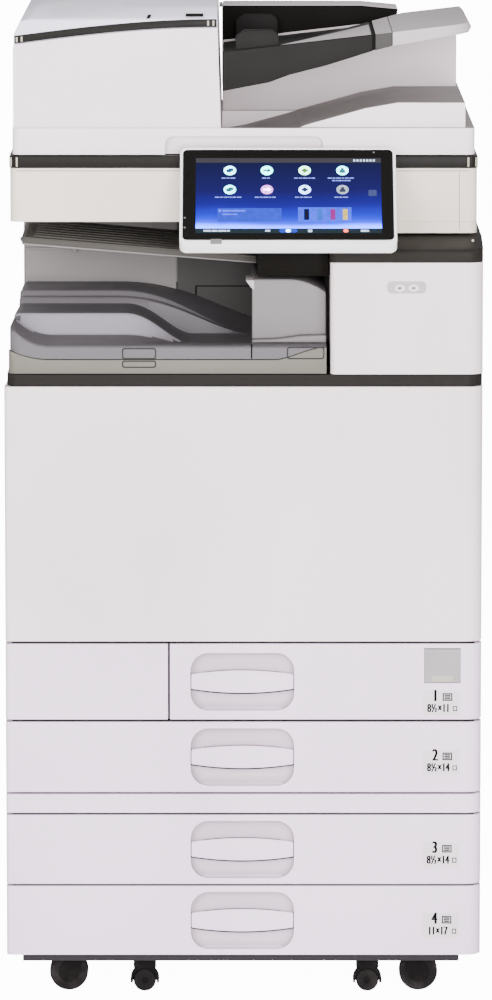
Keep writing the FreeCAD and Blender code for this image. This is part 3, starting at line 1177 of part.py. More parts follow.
# ---------------------------------------------------------------- output
def nodes():
    """Every piece by name."""
    wide = SIDE - CASE_INSET
    y_wide = DOC_FRONT + (DOC_D - DOC_WIDE) / 2
    made = {
        "main_frame": main_frame(),
        "left_cover": left_cover(),
        "right_cover": right_cover(),
        "rear_cover": rear_cover(),
        "waist_trim": waist_trim(),
        "right_front_cover": right_front_cover(),
        "right_top_cover": right_top_cover(),
        "output_tray": output_tray(),
        "upper_output_tray": upper_output_tray(),
        "cavity_back_wall": cavity_back_wall(),
        "cavity_front_panel": cavity_front_panel(),
        "exit_unit": exit_unit(),
        "front_door": front_door(),
        "lower_left_cover": lower_left_cover(),
        "tray_1_front": tray_1_front(),
        "tray_2_front": drawer_front(-SIDE, D2_Z, DRAWER_2_H, CORNER_L),
        "tray_3_front": drawer_front(-SIDE, D3_Z, BANK_DRAWER_H, CORNER_L),
        "tray_4_front": drawer_front(-SIDE, D4_Z, BANK_DRAWER_H, CORNER_L),
        "tray_1_case": drawer_case(CASE_1_X0, CASE_1_X0 + CASE_1_W, D1_Z),
        "tray_2_case": drawer_case(-wide, wide, D2_Z),
        "tray_3_case": drawer_case(-wide, wide, D3_Z),
        "tray_4_case": drawer_case(-wide, wide, D4_Z),
        "power_flap": power_flap(),
        "power_button": power_button(),
        "bank_housing": bank_housing(),
        "caster_brackets": caster_brackets(),
        "laser_unit": laser_unit(),
        "drum_units": drum_units(),
        "transfer_unit": transfer_unit(),
        "toner_bottles": toner_bottles(),
        "inner_cover": inner_cover(),
        "fuser_unit": fuser_unit(),
        "drive_unit": drive_unit(),
        "controller_box": controller_box(),
        "right_door": right_door(),
        "bypass_tray": bypass_tray(),
        "scanner_housing": scanner_housing(),
        "scanner_top_frame": scanner_top_frame(),
        "platen_glass": platen_glass(),
        "mirror_carriage": carriage(-SCAN_HALF + 8, -SCAN_HALF + 36, CARRIAGE_H),
        "scan_carriage": carriage(-SCAN_HALF + 40, -SCAN_HALF + 96, CARRIAGE_H),
        "panel_shell": panel_shell(),
        "panel_glass": panel_glass(),
        "adf_base": adf_base(),
        "platen_pad": platen_pad(),
        "adf_rear_housing": adf_rear_housing(),
        "adf_feeder_cover": adf_feeder_cover(),
        "adf_feed_roller": adf_feed_roller(),
        "adf_top_cover": adf_top_cover(),
        "adf_doc_tray": adf_doc_tray(),
        "doc_fence_front": doc_fence(y_wide - FENCE_T),
        "doc_fence_rear": doc_fence(y_wide + DOC_WIDE),
    }
    for side, name in ((-1, "left"), (1, "right")):
        made[f"caster_fork_{name}"] = caster_fork(side)
        made[f"caster_wheel_{name}"] = wheel((side * OUTER_CASTER_X, OUTER_CASTER_Y, OUTER_WHEEL_R), (0, 1, 0),
                                             OUTER_WHEEL_R, OUTER_WHEEL_W)
        made[f"rear_wheel_{name}"] = wheel((side * OUTER_CASTER_X, REAR_CASTER_Y, OUTER_WHEEL_R), (1, 0, 0),
                                           OUTER_WHEEL_R, OUTER_WHEEL_W)
    for x, name in zip(INNER_CASTERS_X, ("left", "right")):
        made[f"inner_wheel_{name}"] = wheel((x, INNER_CASTER_Y - 1.5, INNER_WHEEL_R), (0, 1, 0),
                                            INNER_WHEEL_R, INNER_WHEEL_W - 4)
    return made


def main():
    """Write one STEP file per piece."""
    os.makedirs("parts", exist_ok=True)
    for name, shape in nodes().items():
        print(name, len(shape.Solids), "valid" if shape.isValid() else "INVALID")
        shape.exportStep(f"parts/{name}.step")


main()
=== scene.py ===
"""Looks of a floor-standing photocopier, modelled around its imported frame.

Sizes are in millimetres in the frame's own axes: +Z is up and the front faces -Y.
The modelling helpers turn them into metres where they meet Blender.
"""

import logging
import math
from contextlib import contextmanager
from dataclasses import dataclass
from enum import Enum
from typing import Callable, Iterator, Optional, Sequence

import bpy
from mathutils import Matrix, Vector


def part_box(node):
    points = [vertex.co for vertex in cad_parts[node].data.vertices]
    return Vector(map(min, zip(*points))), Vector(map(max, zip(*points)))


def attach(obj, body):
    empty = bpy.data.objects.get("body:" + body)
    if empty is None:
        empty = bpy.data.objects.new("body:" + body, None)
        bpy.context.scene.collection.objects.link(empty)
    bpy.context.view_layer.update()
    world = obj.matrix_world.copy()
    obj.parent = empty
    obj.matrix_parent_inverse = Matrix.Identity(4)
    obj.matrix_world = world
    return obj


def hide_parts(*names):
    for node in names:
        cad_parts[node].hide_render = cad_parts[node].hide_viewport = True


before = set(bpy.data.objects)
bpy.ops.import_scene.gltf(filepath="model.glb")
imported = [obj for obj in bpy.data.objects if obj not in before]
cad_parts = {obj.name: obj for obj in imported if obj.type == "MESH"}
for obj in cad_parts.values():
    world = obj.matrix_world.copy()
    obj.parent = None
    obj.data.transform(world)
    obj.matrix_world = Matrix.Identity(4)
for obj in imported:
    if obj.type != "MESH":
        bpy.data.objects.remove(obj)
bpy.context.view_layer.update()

MM = 0.001
STUDIO_LIGHT = 3.3           # light on a face that looks at the lamps, against its reflectance
FILM_GAIN = 0.207            # the film's response: light is gain * tone^toe / (white - tone)^shoulder
FILM_TOE = 1.19
FILM_SHOULDER = 1.51
FILM_WHITE = 1.05
LOG = logging.getLogger("photocopier")

Point = tuple[float, float, float]
Pair = tuple[float, float]
Test = Optional[Callable[..., bool]]
Solid = bpy.types.Object


class Part(Enum):
    """What edit mode selects."""

    VERT = "VERT"
    EDGE = "EDGE"
    FACE = "FACE"


class Axis(Enum):
    """Direction in which an outline is drawn out."""

    X = 0
    Y = 1
    Z = 2

    def place(self, pair: Pair, along: float) -> Vector:
        """Point of an outline that lies across this axis.

        Args:
            pair: The two other coordinates.
            along: Coordinate along the axis.

        Returns:
            The point.
        """
        values = list(pair)
        values.insert(self.value, along)
        return Vector(values)


# ---------------------------------------------------------------- modelling helpers
def alone(piece: Solid) -> None:
    """Select one piece only and make it active.

    Args:
        piece: Piece that is worked on.
    """
    bpy.ops.object.select_all(action="DESELECT")
    piece.hide_set(False)
    piece.select_set(True)
    bpy.context.view_layer.objects.active = piece


@contextmanager
def editing(piece: Solid, part: Part = Part.FACE, test: Test = None) -> Iterator[None]:
    """Edit mode on one piece.

    Args:
        piece: what is edited.
        part: whether vertices, edges or faces are selected.
        test: says which of them are, from their place in millimetres; all of them when left out.
            It takes a vertex's place, an edge's two ends, or a face's centre and normal.
    """
    alone(piece)
    bpy.ops.object.mode_set(mode="EDIT")
    bpy.ops.mesh.select_mode(type=part.value)
    bpy.ops.mesh.select_all(action="DESELECT" if test else "SELECT")
    if test:
        bpy.ops.object.mode_set(mode="OBJECT")
        mesh = piece.data
        spots = [v.co / MM for v in mesh.vertices]
        if part is Part.VERT:
            for vertex, spot in zip(mesh.vertices, spots):
                vertex.select = test(spot)
        elif part is Part.EDGE:
            for edge in mesh.edges:
                edge.select = test(spots[edge.vertices[0]], spots[edge.vertices[1]])
        else:
            for face in mesh.polygons:
                face.select = test(face.center / MM, face.normal)
        bpy.ops.object.mode_set(mode="EDIT")
    yield
    bpy.ops.object.mode_set(mode="OBJECT")


def named(name: str) -> Solid:
    """Name the active object, put its place in its mesh and return it.

    Args:
        name: Name of the piece.

    Returns:
        The piece.
    """
    piece = bpy.context.active_object
    piece.name = name
    alone(piece)
    bpy.ops.object.transform_apply(location=True, rotation=True, scale=True)
    return piece


def block(name: str, low: Point, high: Point) -> Solid:
    """Block between two corners.

    Args:
        name: Name of the piece.
        low: Lowest corner, in millimetres.
        high: Highest corner, in millimetres.

    Returns:
        The piece.
    """
    low_v, high_v = Vector(low), Vector(high)
    bpy.ops.object.select_all(action="DESELECT")
    bpy.ops.mesh.primitive_cube_add(size=1, location=(low_v + high_v) * MM / 2, scale=(high_v - low_v) * MM)
    return named(name)


def disc(name: str, centre: Point, radius: float, depth: float, axis: Axis = Axis.Y,
         sides: int = 40) -> Solid:
    """Cylinder about a point, drawn along one axis.

    Args:
        name: Name of the piece.
        centre: Middle point, in millimetres.
        radius: Radius, in millimetres.
        depth: Length along the axis, in millimetres.
        axis: Axis that it is drawn along.
        sides: Number of flat sides.

    Returns:
        The piece.
    """
    turn = {Axis.X: (0, math.pi / 2, 0), Axis.Y: (math.pi / 2, 0, 0), Axis.Z: (0, 0, 0)}[axis]
    bpy.ops.object.select_all(action="DESELECT")
    bpy.ops.mesh.primitive_cylinder_add(vertices=sides, radius=radius * MM, depth=depth * MM,
                                        location=Vector(centre) * MM, rotation=turn)
    return named(name)


def drawn(name: str, outline: Sequence[Pair], axis: Axis, start: float, end: float) -> Solid:
    """Outline filled with one face and drawn out along an axis.

    Args:
        name: Name of the piece.
        outline: Corner points in order.
        axis: Axis that it is drawn along.
        start: Where it begins along the axis, in millimetres.
        end: Where it ends along the axis, in millimetres.

    Returns:
        The piece.
    """
    bpy.ops.object.select_all(action="DESELECT")
    bpy.ops.mesh.primitive_circle_add(vertices=len(outline), fill_type="NGON")
    piece = named(name)
    for vertex, pair in zip(piece.data.vertices, outline):
        vertex.co = axis.place(pair, start) * MM
    step = axis.place((0, 0), (end - start) * MM)
    with editing(piece):
        bpy.ops.mesh.extrude_region_move(TRANSFORM_OT_translate={"value": step})
        bpy.ops.mesh.select_all(action="SELECT")
        bpy.ops.mesh.normals_make_consistent(inside=False)
    return piece


def arc(centre: Pair, radius: float, start: float, end: float, steps: int = 6) -> list[Pair]:
    """Points of a circle's arc, angles in degrees."""
    angles = [math.radians(start + (end - start) * i / steps) for i in range(steps + 1)]
    return [(centre[0] + radius * math.cos(a), centre[1] + radius * math.sin(a)) for a in angles]


def rounded_rect(x0: float, x1: float, z0: float, z1: float, radius: float, steps: int = 6) -> list[Pair]:
    """Outline of a rectangle with round corners.

    Args:
        x0: Left edge, in millimetres.
        x1: Right edge, in millimetres.
        z0: Lower edge, in millimetres.
        z1: Upper edge, in millimetres.
        radius: Radius, in millimetres.
        steps: Number of steps in each round stretch.

    Returns:
        The points in order.
    """
    corners = [(x1 - radius, z0 + radius), (x1 - radius, z1 - radius), (x0 + radius, z1 - radius),
               (x0 + radius, z0 + radius)]
    return [p for i, c in enumerate(corners) for p in arc(c, radius, -90 + 90 * i, 90 * i, steps)]


def apply_modifier(piece: Solid, kind: str, **settings: object) -> Solid:
    """Add a modifier, set it and apply it.

    Args:
        piece: Piece that is worked on.
        kind: Kind of modifier.
        settings: Settings of the modifier, by name.

    Returns:
        The piece.
    """
    modifier = piece.modifiers.new(kind.lower(), kind)
    for key, value in settings.items():
        setattr(modifier, key, value)
    alone(piece)
    bpy.ops.object.modifier_apply(modifier=modifier.name)
    return piece


def softened(piece: Solid, width: float, segments: int = 3, limit: float = 35) -> Solid:
    """Round every edge sharper than the limit, in degrees."""
    return apply_modifier(piece, "BEVEL", width=width * MM, segments=segments, limit_method="ANGLE",
                          angle_limit=math.radians(limit), harden_normals=False)


def rounded_edges(piece: Solid, width: float, segments: int, test: Callable[[Vector, Vector], bool]) -> Solid:
    """Round the edges that pass a test of their two ends.

    Args:
        piece: Piece that is worked on.
        width: Width of the rounding, in millimetres.
        segments: Number of steps in the rounding.
        test: Which elements are meant.

    Returns:
        The piece.
    """
    with editing(piece, Part.EDGE, test):
        bpy.ops.mesh.bevel(offset=width * MM, segments=segments, affect="EDGES")
    return piece


def carved(piece: Solid, *cutters: Solid) -> Solid:
    """Cut the cutters out of a piece.

    Args:
        piece: Piece that is worked on.
        cutters: Solids to take away.

    Returns:
        The piece.
    """
    for cutter in cutters:
        apply_modifier(piece, "BOOLEAN", operation="DIFFERENCE", object=cutter, solver="EXACT")
        bpy.data.objects.remove(cutter)
    return piece


def joined(name: str, pieces: Sequence[Solid]) -> Solid:
    """Several solids as one piece.

    Args:
        name: Name of the piece.
        pieces: Solids to join.

    Returns:
        The piece.
    """
    alone(pieces[0])
    for piece in pieces:
        piece.select_set(True)
    bpy.ops.object.join()
    pieces[0].name = name
    return pieces[0]


def moved_copy(piece: Solid, name: str, shift: Point) -> Solid:
    """Copy with its own mesh, moved.

    Args:
        piece: Piece that is worked on.
        name: Name of the piece.
        shift: Move along x, y and z, in millimetres.

    Returns:
        The piece.
    """
    alone(piece)
    bpy.ops.object.duplicate()
    bpy.ops.transform.translate(value=Vector(shift) * MM)
    return named(name)


def trimmed(piece: Solid, point: Point, normal: Point) -> Solid:
    """Cut a closed piece along a plane and drop the side the normal points to.

    Args:
        piece: Piece that is worked on.
        point: A point on the plane, in millimetres.
        normal: Direction the plane faces.

    Returns:
        The piece.
    """
    with editing(piece):
        bpy.ops.mesh.bisect(plane_co=Vector(point) * MM, plane_no=normal, use_fill=True, clear_outer=True)
    return piece


def refined(node: str, name: str, width: float, segments: int = 3, limit: float = 30) -> Solid:
    """Copy of a frame node, merged and with its hard edges rounded.

    Args:
        node: Name of the frame node.
        name: Name of the piece.
        width: Width of the rounding, in millimetres.
        segments: Number of steps in the rounding.
        limit: Sharpest angle left alone, in degrees.

    Returns:
        The piece.
    """
    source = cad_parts[node]
    piece = bpy.data.objects.new(name, source.data.copy())
    bpy.context.scene.collection.objects.link(piece)
    with editing(piece):
        bpy.ops.mesh.remove_doubles(threshold=1e-5)
        bpy.ops.mesh.dissolve_limited(angle_limit=math.radians(0.4))
    return softened(piece, width, segments, limit) if width else piece


def span(node: str) -> tuple[Vector, Vector]:
    """Lowest and highest corner of a frame node, in millimetres."""
    low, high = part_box(node)
    return low / MM, high / MM


def ease(value: float, start: float, end: float) -> float:
    """Smooth step from 0 at start to 1 at end."""
    t = min(1.0, max(0.0, (value - start) / (end - start)))
    return t * t * (3 - 2 * t)


# ---------------------------------------------------------------- finishes
def light_of(level: float) -> float:
    """Light that the film curve shows as a display level of 0-255."""
    tone = level / 255
    return FILM_GAIN * tone ** FILM_TOE / (FILM_WHITE - tone) ** FILM_SHOULDER


def glow(colour: Sequence[float]) -> tuple[float, float, float, float]:
    """Emitted light of a display colour."""
    return (*(light_of(c) for c in colour), 1.0)


def linear(colour: Sequence[float]) -> tuple[float, float, float, float]:
    """Reflectance that shows a display colour on a face the studio lights fully."""
    return (*(min(0.9, light_of(c) / STUDIO_LIGHT) for c in colour), 1.0)


class Shader:
    """Node tree of one material, on Object coordinates."""

    def __init__(self, name: str) -> None:
        """Start a material that has one Principled shader.

        Args:
            name: Name of the material.
        """
        self.material = bpy.data.materials.new(name)
        self.material.use_nodes = True
        self.nodes = self.material.node_tree.nodes
        self.links = self.material.node_tree.links
        self.base = self.nodes["Principled BSDF"]
        self.place = self.nodes.new("ShaderNodeTexCoord").outputs["Object"]

    def node(self, kind: str, settings: Optional[dict] = None, **inputs: object) -> bpy.types.Node:
        """Add a node; an input's underscores stand for spaces, and a socket given to it is linked.

        Args:
            kind: Kind of node.
            settings: Settings of the node, by name.
            inputs: Inputs of the node, by name.

        Returns:
            The new node.
        """
        made = self.nodes.new(f"ShaderNode{kind}")
        for key, value in (settings or {}).items():
            setattr(made, key, value)
        for key, value in inputs.items():
            self.feed(made.inputs[key.replace("_", " ")], value)
        return made

    def feed(self, socket: bpy.types.NodeSocket, value: object) -> None:
        """Link a socket to another, or set its value.

        Args:
            socket: Input to fill.
            value: Value or socket to use.
        """
        if isinstance(value, bpy.types.NodeSocket):
            self.links.new(value, socket)
        else:
            socket.default_value = value

    def set(self, **inputs: object) -> None:
        """Set or link inputs of the Principled shader."""
        for key, value in inputs.items():
            self.feed(self.base.inputs[key.replace("_", " ")], value)

    def noise(self, scale: float, detail: float = 2, stretch: Point = (1, 1, 1), bend: float = 0) -> object:
        """Noise over the piece's own place."""
        vector = self.node("Mapping", Vector=self.place, Scale=stretch).outputs[0]
        return self.node("TexNoise", Vector=vector, Scale=scale, Detail=detail,
                         Distortion=bend).outputs["Fac"]

    def ramp(self, factor: object, stops: Sequence[tuple[float, Sequence[float]]],
             tone: Callable = linear) -> object:
        """Colour ramp through stops of (place, colour).

        Args:
            factor: Value that drives it.
            stops: Places and colours of the ramp.
            tone: Whether the colours are light given off.

        Returns:
            Socket that carries the result.
        """
        made = self.node("ValToRGB", Fac=factor)
        for i, (spot, colour) in enumerate(stops):
            element = made.color_ramp.elements[i] if i < 2 else made.color_ramp.elements.new(spot)
            element.position = spot
            element.color = tone(colour)
        return made.outputs["Color"]

    def between(self, factor: object, low: float, high: float, start: float = 0.3,
                end: float = 0.7) -> object:
        """Value that goes from low to high as the factor goes from start to end."""
        return self.node("MapRange", Value=factor, From_Min=start, From_Max=end, To_Min=low,
                         To_Max=high).outputs[0]

    def bump(self, height: object, depth: float, strength: float, below: object = None) -> object:
        """Bump of a height pattern, depth in millimetres.

        Args:
            height: Pattern of heights.
            depth: Depth, in millimetres.
            strength: Strength of the bump.
            below: Bump that this one lies on.

        Returns:
            Socket that carries the result.
        """
        made = self.node("Bump", Height=height, Distance=depth * MM, Strength=strength)
        if below is not None:
            self.feed(made.inputs["Normal"], below)
        return made.outputs["Normal"]

    def slope(self, direction: Point) -> object:
        """Distance along a direction, in metres.

        Args:
            direction: Direction that is measured along.

        Returns:
            Socket that carries the result.
        """
        made = self.node("VectorMath", {"operation": "DOT_PRODUCT"})
        self.feed(made.inputs[0], self.place)
        made.inputs[1].default_value = direction
        return made.outputs["Value"]


@dataclass(frozen=True)
class Finish:
    """Base of every finish: a name, a display colour and a roughness."""

    name: str
    colour: tuple[float, float, float]
    gloss: float = 0.5

    def material(self) -> bpy.types.Material:
        """The finish's material, made once.

        Returns:
            The material.
        """
        title = f"{self.name}_finish"
        found = bpy.data.materials.get(title)
        if found:
            return found
        shader = Shader(title)
        self.compose(shader)
        return shader.material

    def shade(self, amount: float) -> tuple[float, ...]:
        """The colour, darker or lighter by an amount."""
        return tuple(min(255.0, c * (1 + amount)) for c in self.colour)

    def compose(self, shader: Shader) -> None:
        """Fill in the shader."""
        raise NotImplementedError


@dataclass(frozen=True)
class Moulding(Finish):
    """Injection-moulded plastic with a fine eroded grain, faint flow marks and rubbed spots."""

    grain: float = 0.5
    relief: float = 0.22
    mottle: float = 0.01
    shine: float = 0.14

    def compose(self, shader: Shader) -> None:
        """Grain in the bump, cloudy colour and uneven gloss.

        Args:
            shader: Shader to fill in.
        """
        cloud = shader.noise(3.2, 3, (1, 1, 0.6), 0.4)
        speck = shader.noise(1000 / self.grain, 2)
        flow = shader.noise(14, 3, (1, 1, 7), 0.2)
        colour = shader.ramp(cloud, [(0.3, self.shade(-self.mottle)), (0.7, self.shade(self.mottle))])
        mixed = shader.node("HueSaturation", Color=colour, Value=shader.between(speck, 0.94, 1.03))
        grain = shader.bump(speck, 0.05, self.relief)
        wave = shader.bump(flow, 0.12, 0.04, grain)
        rough = shader.between(shader.noise(8, 4, (1, 1, 0.3), 0.6), self.gloss - 0.05, self.gloss + 0.06)
        shader.set(Base_Color=mixed.outputs[0], Roughness=rough, Normal=wave, Specular_IOR_Level=self.shine)


@dataclass(frozen=True)
class Rubber(Finish):
    """Dull rubber or nylon with a coarse tooth and dust in its hollows."""

    def compose(self, shader: Shader) -> None:
        """Dusty patches over a coarse bump.

        Args:
            shader: Shader to fill in.
        """
        dust = shader.noise(45, 4, bend=0.5)
        tooth = shader.noise(900, 3)
        colour = shader.ramp(dust, [(0.45, self.colour), (0.8, self.shade(0.9))])
        shader.set(Base_Color=colour, Roughness=shader.between(dust, self.gloss, self.gloss + 0.2),
                   Normal=shader.bump(tooth, 0.2, 0.35), Specular_IOR_Level=0.02)


@dataclass(frozen=True)
class Steel(Finish):
    """Galvanised or brushed sheet."""

    brushed: bool = False

    def compose(self, shader: Shader) -> None:
        """Streaks along the sheet, or the spangle of zinc.

        Args:
            shader: Shader to fill in.
        """
        stretch = (1, 1, 40) if self.brushed else (1, 1, 1)
        grain = shader.noise(300 if self.brushed else 70, 4, stretch, 0.3)
        colour = shader.ramp(grain, [(0.3, self.shade(-0.14)), (0.7, self.shade(0.08))])
        shader.set(Base_Color=colour, Metallic=1.0, Normal=shader.bump(grain, 0.05, 0.15),
                   Roughness=shader.between(grain, self.gloss - 0.08, self.gloss + 0.12))


@dataclass(frozen=True)
class Lacquer(Finish):
    """Smooth black glass or glossy lens with faint smears."""

    def compose(self, shader: Shader) -> None:
        """Finger smears show only in the gloss.

        Args:
            shader: Shader to fill in.
        """
        smear = shader.noise(26, 4, (1, 1, 0.4), 1.2)
        colour = shader.ramp(smear, [(0.4, self.colour), (0.9, self.shade(0.2))])
        shader.set(Base_Color=colour, Roughness=shader.between(smear, self.gloss, self.gloss + 0.18),
                   Normal=shader.bump(shader.noise(60, 2), 0.02, 0.05), Specular_IOR_Level=0.05)


@dataclass(frozen=True)
class Clear(Finish):
    """Glass or translucent plastic."""

    passing: float = 0.9

    def compose(self, shader: Shader) -> None:
        """Tinted and lightly smeared.

        Args:
            shader: Shader to fill in.
        """
        smear = shader.noise(18, 3, bend=0.8)
        colour = shader.ramp(smear, [(0.3, self.shade(-0.04)), (0.7, self.colour)])
        shader.set(Base_Color=colour, Transmission_Weight=self.passing, IOR=1.45,
                   Roughness=shader.between(smear, self.gloss, self.gloss + 0.06),
                   Normal=shader.bump(smear, 0.05, 0.05))


@dataclass(frozen=True)
class Glowing(Finish):
    """Lit mark on the display, softly uneven."""

    def compose(self, shader: Shader) -> None:
        """Light from a soft pattern over a nearly black face.

        Args:
            shader: Shader to fill in.
        """
        spread = shader.noise(160, 2)
        colour = shader.ramp(spread, [(0.3, self.shade(-0.03)), (0.7, self.shade(0.02))], glow)
        shader.set(Base_Color=(0.003, 0.003, 0.004, 1), Roughness=self.gloss, Emission_Color=colour,
                   Emission_Strength=1.0, Specular_IOR_Level=0.03)


@dataclass(frozen=True)
class Paper(Finish):
    """Overexposed studio paper: bright to the lens, ordinary white as a source of bounced light."""

    def compose(self, shader: Shader) -> None:
        """Soft fibre over a face that glows only when looked at directly.

        Args:
            shader: Shader to fill in.
        """
        fibre = shader.noise(120, 3)
        colour = shader.ramp(fibre, [(0.3, self.shade(-0.01)), (0.7, self.colour)])
        seen = shader.node("LightPath").outputs["Is Camera Ray"]
        shader.set(Base_Color=colour, Roughness=self.gloss, Emission_Color=(1, 1, 1, 1),
                   Specular_IOR_Level=0.0,
                   Emission_Strength=shader.between(seen, 0.0, 13.0, 0.0, 1.0))


@dataclass(frozen=True)
class Wallpaper(Finish):
    """Display picture: night blue at the top, through bright blue, to a pale horizon."""

    lean: float = 0.0
    low: float = 0.0
    high: float = 1.0
    stops: tuple[tuple[float, tuple[float, float, float]], ...] = ()

    def compose(self, shader: Shader) -> None:
        """Ramp up the leaning face, stirred by slow waves.

        Args:
            shader: Shader to fill in.
        """
        turn = math.radians(self.lean)
        climb = shader.slope((0, math.sin(turn), math.cos(turn)))
        share = shader.between(climb, 0, 1, self.low, self.high)
        wave = shader.between(shader.noise(9, 2, (1, 0.4, 0.4), 0.8), -0.03, 0.03)
        mixed = shader.node("Math", {"operation": "ADD"})
        shader.feed(mixed.inputs[0], share)
        shader.feed(mixed.inputs[1], wave)
        colour = shader.ramp(mixed.outputs[0], self.stops, glow)
        shader.set(Base_Color=(0.003, 0.003, 0.004, 1), Roughness=self.gloss, Emission_Color=colour,
                   Emission_Strength=1.0, Specular_IOR_Level=0.03)


@dataclass(frozen=True)
class TonerShells(Finish):
    """Bottles in four toner colours, side by side, each with its powder's sheen."""

    start: float = -132.0
    pitch: float = 112.0

    def compose(self, shader: Shader) -> None:
        """A stepped ramp across the row of bottles.

        Args:
            shader: Shader to fill in.
        """
        across = shader.between(shader.slope((1, 0, 0)), 0, 1, (self.start - self.pitch) * MM,
                                (self.start + 3 * self.pitch) * MM)
        tones = [(0, (40, 40, 44)), (0.25, (210, 190, 30)), (0.5, (30, 140, 190)), (0.75, (190, 40, 110))]
        made = shader.ramp(across, tones)
        made.node.color_ramp.interpolation = "CONSTANT"
        dust = shader.noise(40, 4)
        shader.set(Base_Color=made, Roughness=shader.between(dust, 0.35, 0.6),
                   Normal=shader.bump(dust, 0.1, 0.1))


class Stock(Enum):
    """The finishes of this machine."""

    DOOR = Moulding("cover_white", (226, 222, 223), 0.46)
    DRAWER = Moulding("drawer_white", (225, 220, 226), 0.46)
    SCANNER = Moulding("scanner_white", (221, 218, 214), 0.46)
    FEEDER = Moulding("feeder_white", (227, 223, 224), 0.44)
    LID = Moulding("lid_lavender_grey", (224, 223, 229), 0.42)
    GREY = Moulding("exit_light_grey", (172, 168, 169), 0.5)
    STRIP = Moulding("strip_warm_grey", (158, 155, 147), 0.5)
    WALL = Moulding("cavity_grey", (168, 164, 163), 0.55)
    SHADE = Moulding("cavity_dark_grey", (104, 100, 99), 0.55)
    TRAY = Moulding("output_tray_grey", (152, 148, 152), 0.5, shine=0.1)
    # painted light: paler grey for the pocket's steep faces, which face the lamps
    POCKET = Moulding("tray_pocket_painted_light", (196, 193, 198), 0.5, shine=0.1)
    REAR = Moulding("feeder_rear_pale", (216, 212, 213), 0.46)
    # painted shade: grey for up-facing faces on the right of the platen cover
    RAMP = Moulding("ramp_painted_shade", (188, 184, 183), 0.45)
    TRIM = Moulding("waist_dark", (62, 58, 55), 0.4, relief=0.14, shine=0.02)
    BAND = Moulding("band_dark", (52, 49, 46), 0.34, relief=0.08, shine=0.03)
    TABLE = Moulding("document_table_dark", (56, 53, 52), 0.42, relief=0.16, shine=0.02)
    CAP = Moulding("cap_dark", (66, 62, 58), 0.42, relief=0.14, shine=0.02)
    PALE = Moulding("table_end_pale", (207, 203, 205), 0.42)
    UPPER = Moulding("upper_tray_dark", (124, 120, 116), 0.45, shine=0.02)
    BLACK = Moulding("black_plastic", (30, 27, 24), 0.5, relief=0.12, shine=0.02)
    PANEL = Moulding("panel_white", (234, 233, 233), 0.3, relief=0.06)
    INK = Moulding("legend_dark", (44, 42, 46), 0.6, mottle=0.05, shine=0.02)
    DECAL = Moulding("legend_plate", (221, 218, 220), 0.35)
    RIM = Moulding("finger_tab_rim", (88, 85, 86), 0.5, shine=0.04)
    # painted shadow: dark grey for the line under the lowest drawer
    SILL = Moulding("sill_shadow", (84, 80, 84), 0.6, shine=0.02)
    # painted shade: darker white for the faces inside the handle dishes
    DISH = Moulding("handle_dish_painted_shade", (216, 211, 215), 0.5)
    # painted shadow: near black for pieces set in gaps and seams
    SEAM = Moulding("seam_shadow", (34, 32, 31), 0.7, mottle=0.05, shine=0.02)
    # pale marks: the flap's tab and the cap's dots, and painted highlights at the ends of the dark bands
    CLIP = Moulding("pale_marks_and_painted_highlights", (204, 200, 194), 0.35)
    CASTER = Rubber("caster_black", (30, 27, 27), 0.5)
    TYRE = Rubber("tyre_dark", (44, 41, 41), 0.6)
    ZINC = Steel("galvanised_sheet", (176, 178, 180), 0.42)
    ROD = Steel("brushed_rod", (190, 190, 192), 0.3, True)
    BEZEL = Lacquer("bezel_black_glass", (20, 18, 16), 0.22)
    LENS = Lacquer("sensor_lens", (164, 158, 162), 0.15)
    GLASS = Clear("exposure_glass", (226, 232, 230), 0.03)
    FLAP = Clear("smoked_flap", (206, 203, 205), 0.32, 0.35)
    BOTTLES = TonerShells("toner_bottles", (0, 0, 0))
    PAD = Rubber("white_press_pad", (222, 221, 218), 0.7)


def settle(piece: Solid, body: str, stock: Finish | Stock, *stands_for: str, smooth: float = 32) -> Solid:
    """Finish a piece: material, shading, the body that carries it and the nodes it stands for.

    Args:
        piece: the modelled solid.
        body: frame body that it moves with.
        stock: its finish.
        stands_for: frame nodes that it hides.
        smooth: edges flatter than this, in degrees, shade smoothly.

    Returns:
        The same piece.
    """
    finish = stock.value if isinstance(stock, Stock) else stock
    piece.data.materials.clear()
    piece.data.materials.append(finish.material())
    alone(piece)
    bpy.ops.object.shade_smooth_by_angle(angle=math.radians(smooth))
    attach(piece, body)
    if stands_for:
        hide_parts(*stands_for)
    LOG.info("%s on %s in %s", piece.name, body, finish.name)
    return piece


def paint_faces(piece: Solid, stock: Stock, test: Callable[[Vector, Vector], bool]) -> None:
    """Give another finish to the faces that pass a test of centre and normal.

    Args:
        piece: Piece that is worked on.
        stock: Finish to use.
        test: Which elements are meant.
    """
    piece.data.materials.append(stock.value.material())
    index = len(piece.data.materials) - 1
    for face in piece.data.polygons:
        if test(face.center / MM, face.normal):
            face.material_index = index


